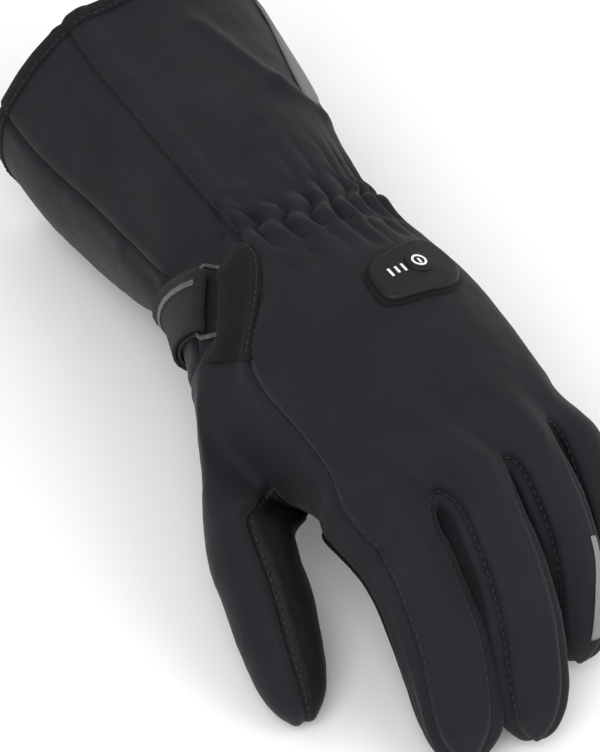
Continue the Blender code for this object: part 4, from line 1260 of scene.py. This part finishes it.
def thread_material():
    m = Nodes("sewing_thread")
    m.colour(m.noise(2500.0, 2.0), (0.005, 0.0055, 0.0065), (0.013, 0.014, 0.017))
    m.roughness(m.noise(2500.0, 2.0), 0.5, 0.7)
    m.bump(m.wave(4000.0, "DIAGONAL", 0.0), 0.3, 0.0001)
    return m.material


def chains(edges):
    """Ordered runs of points from loose edges."""
    near = {}
    for a, b in edges:
        near.setdefault(a, []).append(b)
        near.setdefault(b, []).append(a)
    left = {tuple(sorted(e)) for e in edges}
    runs = []
    starts = [v for v, n in near.items() if len(n) != 2] + list(near)
    for start in starts:
        for first in near[start]:
            if tuple(sorted((start, first))) not in left:
                continue
            run = [start]
            v, w = start, first
            while tuple(sorted((v, w))) in left:
                left.discard(tuple(sorted((v, w))))
                run.append(w)
                if len(near[w]) != 2:
                    break
                v, w = w, [n for n in near[w] if n != v][0]
            runs.append(run)
    return runs


def stitch_mesh(line, normals):
    """Short rounded stitches along a line: points and faces."""
    run = run_of(line)
    points = []
    faces = []
    pitch = STITCH_LENGTH + STITCH_GAP
    sides = STITCH_SIDES
    for n in range(int(run[-1] / pitch)):
        s = (n + 0.5) * pitch
        middle = at_lengths(line, run, s)
        ahead = at_lengths(line, run, s + STITCH_LOOK) - at_lengths(line, run, s - STITCH_LOOK)
        if np.linalg.norm(ahead) < 1e-6:
            continue
        ahead = unit(ahead)
        side = unit(np.cross(at_lengths(normals, run, s), ahead))
        up = np.cross(ahead, side)
        base = len(points)
        for u, share, drop in STITCH_RINGS:
            rise = STITCH_LIFT + drop * STITCH_RADIUS
            centre = middle + ahead * u * STITCH_LENGTH + up * rise
            for k in range(sides):
                a = 2.0 * math.pi * k / sides
                points.append(centre + STITCH_RADIUS * share * (side * math.cos(a) + up * math.sin(a)))
        for r in range(len(STITCH_RINGS) - 1):
            for k in range(sides):
                m = (k + 1) % sides
                faces.append((base + r * sides + k, base + r * sides + m,
                              base + (r + 1) * sides + m, base + (r + 1) * sides + k))
        faces.append(tuple(base + k for k in range(sides))[::-1])
        last = base + (len(STITCH_RINGS) - 1) * sides
        faces.append(tuple(last + k for k in range(sides)))
    return points, faces


def even_line(line, step):
    run = run_of(line)
    return at_lengths(line, run, np.arange(0.0, run[-1], step))


def smooth_line(line, rounds):
    """Draw the points of a line in towards their neighbours, its ends left in place."""
    for _ in range(rounds):
        line[1:-1] = (line[:-2] + 2.0 * line[1:-1] + line[2:]) / 4.0


def point_tree(points):
    tree = KDTree(len(points))
    for i, p in enumerate(points):
        tree.insert(Vector(p), i)
    tree.balance()
    return tree


def sewn(name, lines, material):
    """One piece with the stitches of several (line, normals) pairs."""
    points = []
    faces = []
    for line, normals in lines:
        p, f = stitch_mesh(line, normals)
        base = len(points)
        points += p
        faces += [tuple(v + base for v in face) for face in f]
    add_piece(name, points, faces, material)


def seam_rows(tree, points, quads, tags, borders, panel, others, distance):
    """Stitch lines on one panel, a set distance from its seams with the others."""
    edges = [(a, b) for a, b, p, q in borders if panel in (p, q) and ({p, q} - {panel}) & set(others)]
    owned = point_tree(points[np.unique(quads[tags == panel].ravel())])
    lines = []
    for run in chains(edges):
        line = even_line(points[run], ROW_STEP)
        if len(line) < SHORTEST_ROW:
            continue
        smooth_line(line, 4)
        row = []
        ups = []
        for p, t in zip(line, np.gradient(line, axis=0)):
            n = np.array(tree.find_nearest(Vector(p))[1])
            side = unit(np.cross(n, t)) * distance
            left = owned.find(Vector(p + side))[2]
            right = owned.find(Vector(p - side))[2]
            place, n, _, _ = tree.find_nearest(Vector(p + side if left < right else p - side))
            row.append(np.array(place))
            ups.append(np.array(n))
        row = np.array(row)
        smooth_line(row, 2)
        lines.append((row, np.array(ups)))
    return lines


def soft_edges(high, round_by):
    """Top of a sheet whose edges turn down softly."""
    rows, cols = high.shape
    i = np.minimum(np.arange(rows), np.arange(rows)[::-1])[:, None]
    j = np.minimum(np.arange(cols), np.arange(cols)[::-1])[None, :]
    near = np.minimum(i, j)
    return high - np.where(near == 0, round_by, np.where(near == 1, NEXT_DROP * round_by, 0.0))


def column_on(base, normal, height, index):
    """A line along one column of a grid, at a height over it."""
    ups = normal[:, index]
    return base[:, index] + ups * height[:, index][:, None], ups


def strap_sheet(ground, part, lifts, edges, cols):
    """Closed sheet along part of the strap's middle line, between two lifts from it."""
    line = np.array(strap_line(ground[2][-1] + STRAP_MORE))
    side = strap_sides(line)[part]
    line = line[part]
    grid = []
    for lift in lifts:
        for s, h in line + side * lift:
            for k in range(cols):
                t = edges[0] + (edges[1] - edges[0]) * k / (cols - 1)
                grid.append(on_strap(ground, s, t, h))
    return np.array(grid), slab_faces(len(line), cols)


def make_camera():
    right = Vector(CAMERA_RIGHT).normalized()
    back = Vector(CAMERA_BACK).normalized()
    up = back.cross(right).normalized()
    right = up.cross(back)
    camera = bpy.data.cameras.new("camera")
    camera.lens = LENS
    camera.sensor_width = SENSOR
    obj = link_object("camera", camera)
    turn = Matrix((right, up, back)).transposed().to_4x4()
    obj.matrix_world = Matrix.Translation(CAMERA_PLACE) @ turn
    bpy.context.scene.camera = obj


def area_light(name, place, target, size, power):
    light = bpy.data.lights.new(name, "AREA")
    light.shape = "DISK"
    light.size = size
    light.energy = power
    obj = link_object(name, light)
    obj.location = place
    obj.rotation_euler = (Vector(target) - Vector(place)).to_track_quat("-Z", "Y").to_euler()


def make_studio():
    mesh = bpy.data.meshes.new("floor")
    s = FLOOR_HALF
    mesh.from_pydata([(-s, -s, 0), (s, -s, 0), (s, s, 0), (-s, s, 0)], [], [(0, 1, 2, 3)])
    floor = link_object("floor", mesh)
    m = Nodes("floor_paint")
    m.colour(m.noise(3.0, 2.0), (0.87, 0.87, 0.87), (0.90, 0.90, 0.90))
    m.roughness(m.noise(20.0, 2.0), 0.85, 0.95)
    mesh.materials.append(m.material)
    world = bpy.data.worlds.new("studio")
    world.use_nodes = True
    world.node_tree.nodes["Background"].inputs["Color"].default_value = (1.0, 1.0, 1.0, 1.0)
    world.node_tree.nodes["Background"].inputs["Strength"].default_value = SKY_STRENGTH
    bpy.context.scene.world = world
    for light in LIGHTS:
        area_light(*light)
    bpy.context.scene.view_settings.view_transform = "Standard"


def main():
    make_camera()
    make_studio()
    cloth = softshell_material()
    leather = leather_material()
    webbing = webbing_material("strap_webbing", (0.0118, 0.0111, 0.0098), 700.0)
    panel_cloth = webbing_material("panel_webbing", (0.0048, 0.0045, 0.0038), 700.0)
    trim = webbing_material("edge_trim", (0.0056, 0.0066, 0.0082), 900.0)
    frame_cloth = webbing_material("frame_cloth", (0.0040, 0.0044, 0.0048), 900.0)
    grey = reflective_material("reflective_cloth", (0.093, 0.093, 0.088))
    pale = reflective_material("reflective_piping", (0.165, 0.165, 0.16))
    stripe = reflective_material("strap_reflector", (0.062, 0.062, 0.059))
    rubber = rubber_material("pad_rubber", (0.0066, 0.0064, 0.0062))
    soft_rubber = rubber_material("button_rubber", (0.0060, 0.0058, 0.0056))
    white = print_material()
    steel = steel_material()
    thread = thread_material()

    points, quads, tags = fine_skin(SKIN_LEVEL)
    normals = vertex_normals(points, quads)
    borders = border_edges(quads, tags)
    seam_tree = point_tree(points[sorted({v for a, b, _, _ in borders for v in (a, b)})])
    to_seam = np.array([seam_tree.find(Vector(p))[2] for p in points])
    shaped = relief(points, normals, to_seam)
    walls = wall_sizes(points)
    faces = [tuple(int(v) for v in q) for q in quads]
    tree = tree_of(shaped, faces)
    calm = tree_of(points, faces)

    for name in PANELS:
        skin = leather if name in LEATHER_PANELS else cloth
        panel = add_visible(name, panel_mesh(shaped, normals, walls, faces, tags, name), skin)
    for name, panel, others, distance in STITCH_ROWS:
        sewn(name, seam_rows(tree, shaped, quads, tags, borders, panel, others, distance), thread)
    add_binding(shaped, normals, walls, faces, (trim, thread))
    ground = strap_ground(calm, GROUND_ROWS, STRAP_COLUMNS)
    add_strap(ground, webbing, stripe)
    add_side_panel(calm, panel_cloth, thread)
    add_wire(calm, ground, steel)
    add_strips(calm, (grey, pale))
    add_control(tree, (rubber, soft_rubber, frame_cloth, white))


def add_binding(points, normals, walls, faces, materials):
    trim, thread = materials
    loop = mouth_loop(faces)
    sunk = points - normals * BINDING_SUNK
    mesh = cuff_binding(sunk, normals, walls - 2.0 * BINDING_SUNK, faces, loop)
    add_visible("cuff_binding", mesh, trim)
    inward = rim_inward(points, faces, loop)
    lip = BINDING_GAP + BINDING_THICK - BINDING_SUNK
    along = BINDING_LEG - BINDING_STITCH_INSET
    row = np.array([points[v] + inward[v] * along + normals[v] * lip for v in loop])
    sewn("stitches_binding", [(row, normals[loop])], thread)


def add_strap(ground, webbing, stripe):
    half = STRAP_THICK / 2.0
    mesh = strap_sheet(ground, slice(None), (half, -half), (0.0, 1.0), STRAP_COLUMNS)
    add_visible("wrist_strap", mesh, webbing)
    lift = half + STRIPE_CLEARANCE
    top = slice(UNDER_STEPS + TURN_STEPS, -1)
    mesh = strap_sheet(ground, top, (-lift - STRIPE_THICK, -lift), STRIPE_SEEN, STRIPE_COLUMNS)
    add_visible("strap_stripe", mesh, stripe)


def add_side_panel(tree, cloth, thread):
    """Panel beside the strap: sewn down on one edge, raised over the wire on the other."""
    shares = np.linspace(0.0, 1.0, SIDE_COLUMNS)
    edges = strip_between(SIDE_PANEL_RIGHT, SIDE_PANEL_LEFT, LONG_ROWS, shares)
    base, normal = grid_on(tree, edges)
    lift = np.clip((shares - SIDE_RISE_START) / SIDE_RISE_REACH, 0.0, 1.0)
    rise = (2.0 * WIRE_RADIUS + SIDE_RISE_MORE) * lift * lift * (3.0 - 2.0 * lift)
    rise = np.where(shares > SIDE_END, SIDE_END_RISE, rise)
    calm_tip = np.clip(np.arange(len(base)) / SIDE_TIP_ROWS, 0.0, 1.0)[:, None]
    low = rise * calm_tip - SIDE_SUNK
    band = np.where(shares < SIDE_BAND, SIDE_BAND_THICK, 0.0)
    high = soft_edges(low + SIDE_THICK + band, SIDE_ROUND)
    add_visible("wrist_side_panel", slab(base, normal, low, high), cloth)
    sewn("stitches_side_panel", [column_on(base, normal, high, 1)], thread)


def add_wire(tree, ground, steel):
    length = ground[2][-1] + STRAP_MORE
    bar = strap_levels()[1]
    route = [on_strap(ground, length, t, bar) for t in BAR_SHARES]
    corners = (0, len(route) - 1, len(route), len(route) + len(FAR_SHARES) - 1)
    for t in FAR_SHARES:
        spot = np.array(LOOP_FAR_UPPER) * (1.0 - t) + np.array(LOOP_FAR_LOWER) * t
        place, normal, _, _ = tree.find_nearest(Vector(spot))
        route.append(np.array(place) + np.array(normal) * (SEAT + WIRE_RADIUS))
    path = []
    for i, p in enumerate(route):
        if i in corners:
            before = unit(route[i - 1] - p)
            after = unit(route[(i + 1) % len(route)] - p)
            path += round_corner(p, before, after, LOOP_CORNER, CORNER_STEPS)
        else:
            path.append(p)
    add_visible("strap_loop", wire(path, WIRE_RADIUS, WIRE_SIDES), steel)


def add_strips(tree, materials):
    far = np.array(FINGER_STRIP_NEAR) + np.array(FINGER_STRIP_WIDTH)
    strips = (
        ("reflective_cuff_insert", CUFF_INSERT_UPPER, CUFF_INSERT_LOWER, LONG_ROWS, 12, 0.8, 0.4),
        ("reflective_finger_strip", FINGER_STRIP_NEAR, far, 24, 6, 0.7, 0.35),
    )
    for (name, first, second, rows, steps, thick, round_by), material in zip(strips, materials):
        shares = [k / steps for k in range(steps + 1)]
        base, normal = grid_on(tree, strip_between(first, second, rows, shares))
        low = np.full(base.shape[:2], STRIP_SEAT)
        mesh = slab(base, normal, low, soft_edges(low + thick, round_by))
        add_visible(name, mesh, material)


def add_control(tree, materials):
    rubber, soft_rubber, frame_cloth, white = materials
    outline = evened(rounded_outline(PAD_CORNERS, PAD_CORNER_SEEN, CORNER_STEPS), PAD_SIDES)
    middle = outline.mean(axis=0)
    facing = unit(sum(drop_on(tree, x, y)[1] for x, y in outline))
    spread = middle + (outline - middle) * FRAME_SPREAD_SEEN
    shares = (1.0, 0.985, 0.95, 0.85, 0.65, 0.45, 0.22)
    heights = (0.2, 0.8, 1.15, 1.2, 1.2, 1.2, 1.2)
    frame_mesh = plate(tree, spread, facing, shares, FRAME_LOW, heights)
    add_visible("control_pad_frame", frame_mesh, frame_cloth)
    shares = (1.0, 0.985, 0.955, 0.915, 0.87, 0.82, 0.6, 0.4, 0.2)
    rise = (0.25, 0.62, 0.86, 0.98, 1.0, 0.92, 0.9, 0.9, 0.9)
    heights = tuple(FRAME_SEAT + r * PAD_THICK for r in rise)
    pad = plate(tree, outline, facing, shares, FRAME_SEAT - PAD_DIP, heights)
    add_visible("control_pad", pad, rubber)
    pad_tree = tree_of(*pad)
    shares = (1.0, 0.93, 0.86, 0.5)
    heights = tuple(BUTTON_RISE * r for r in (0.2, 0.75, 1.0, 1.0))
    disc = circle(BUTTON_PLACE, BUTTON_RADIUS, FINE_SIDES)
    button = plate(pad_tree, disc, facing, shares, BUTTON_LOW, heights)
    add_visible("power_button", button, soft_rubber)
    button_tree = tree_of(*button)
    ring = ring_plate(button_tree, BUTTON_PLACE, facing, *MARK_RING, *PRINT)
    add_visible("power_mark_ring", ring, white, False)
    x, y = BUTTON_PLACE
    marks = [("power_mark_stem", button_tree, box_outline(x + MARK_STEM_SHIFT, y, *MARK_STEM))]
    for i, (x, y, size) in enumerate(LEVEL_BARS):
        marks.append(("level_bar_%d" % (i + 1), pad_tree, box_outline(x, y, size, BAR_WIDTH)))
    for name, under, box in marks:
        mark = plate(under, box, facing, (1.0,), PRINT[0], PRINT[1:])
        add_visible(name, mark, white, False)


main()
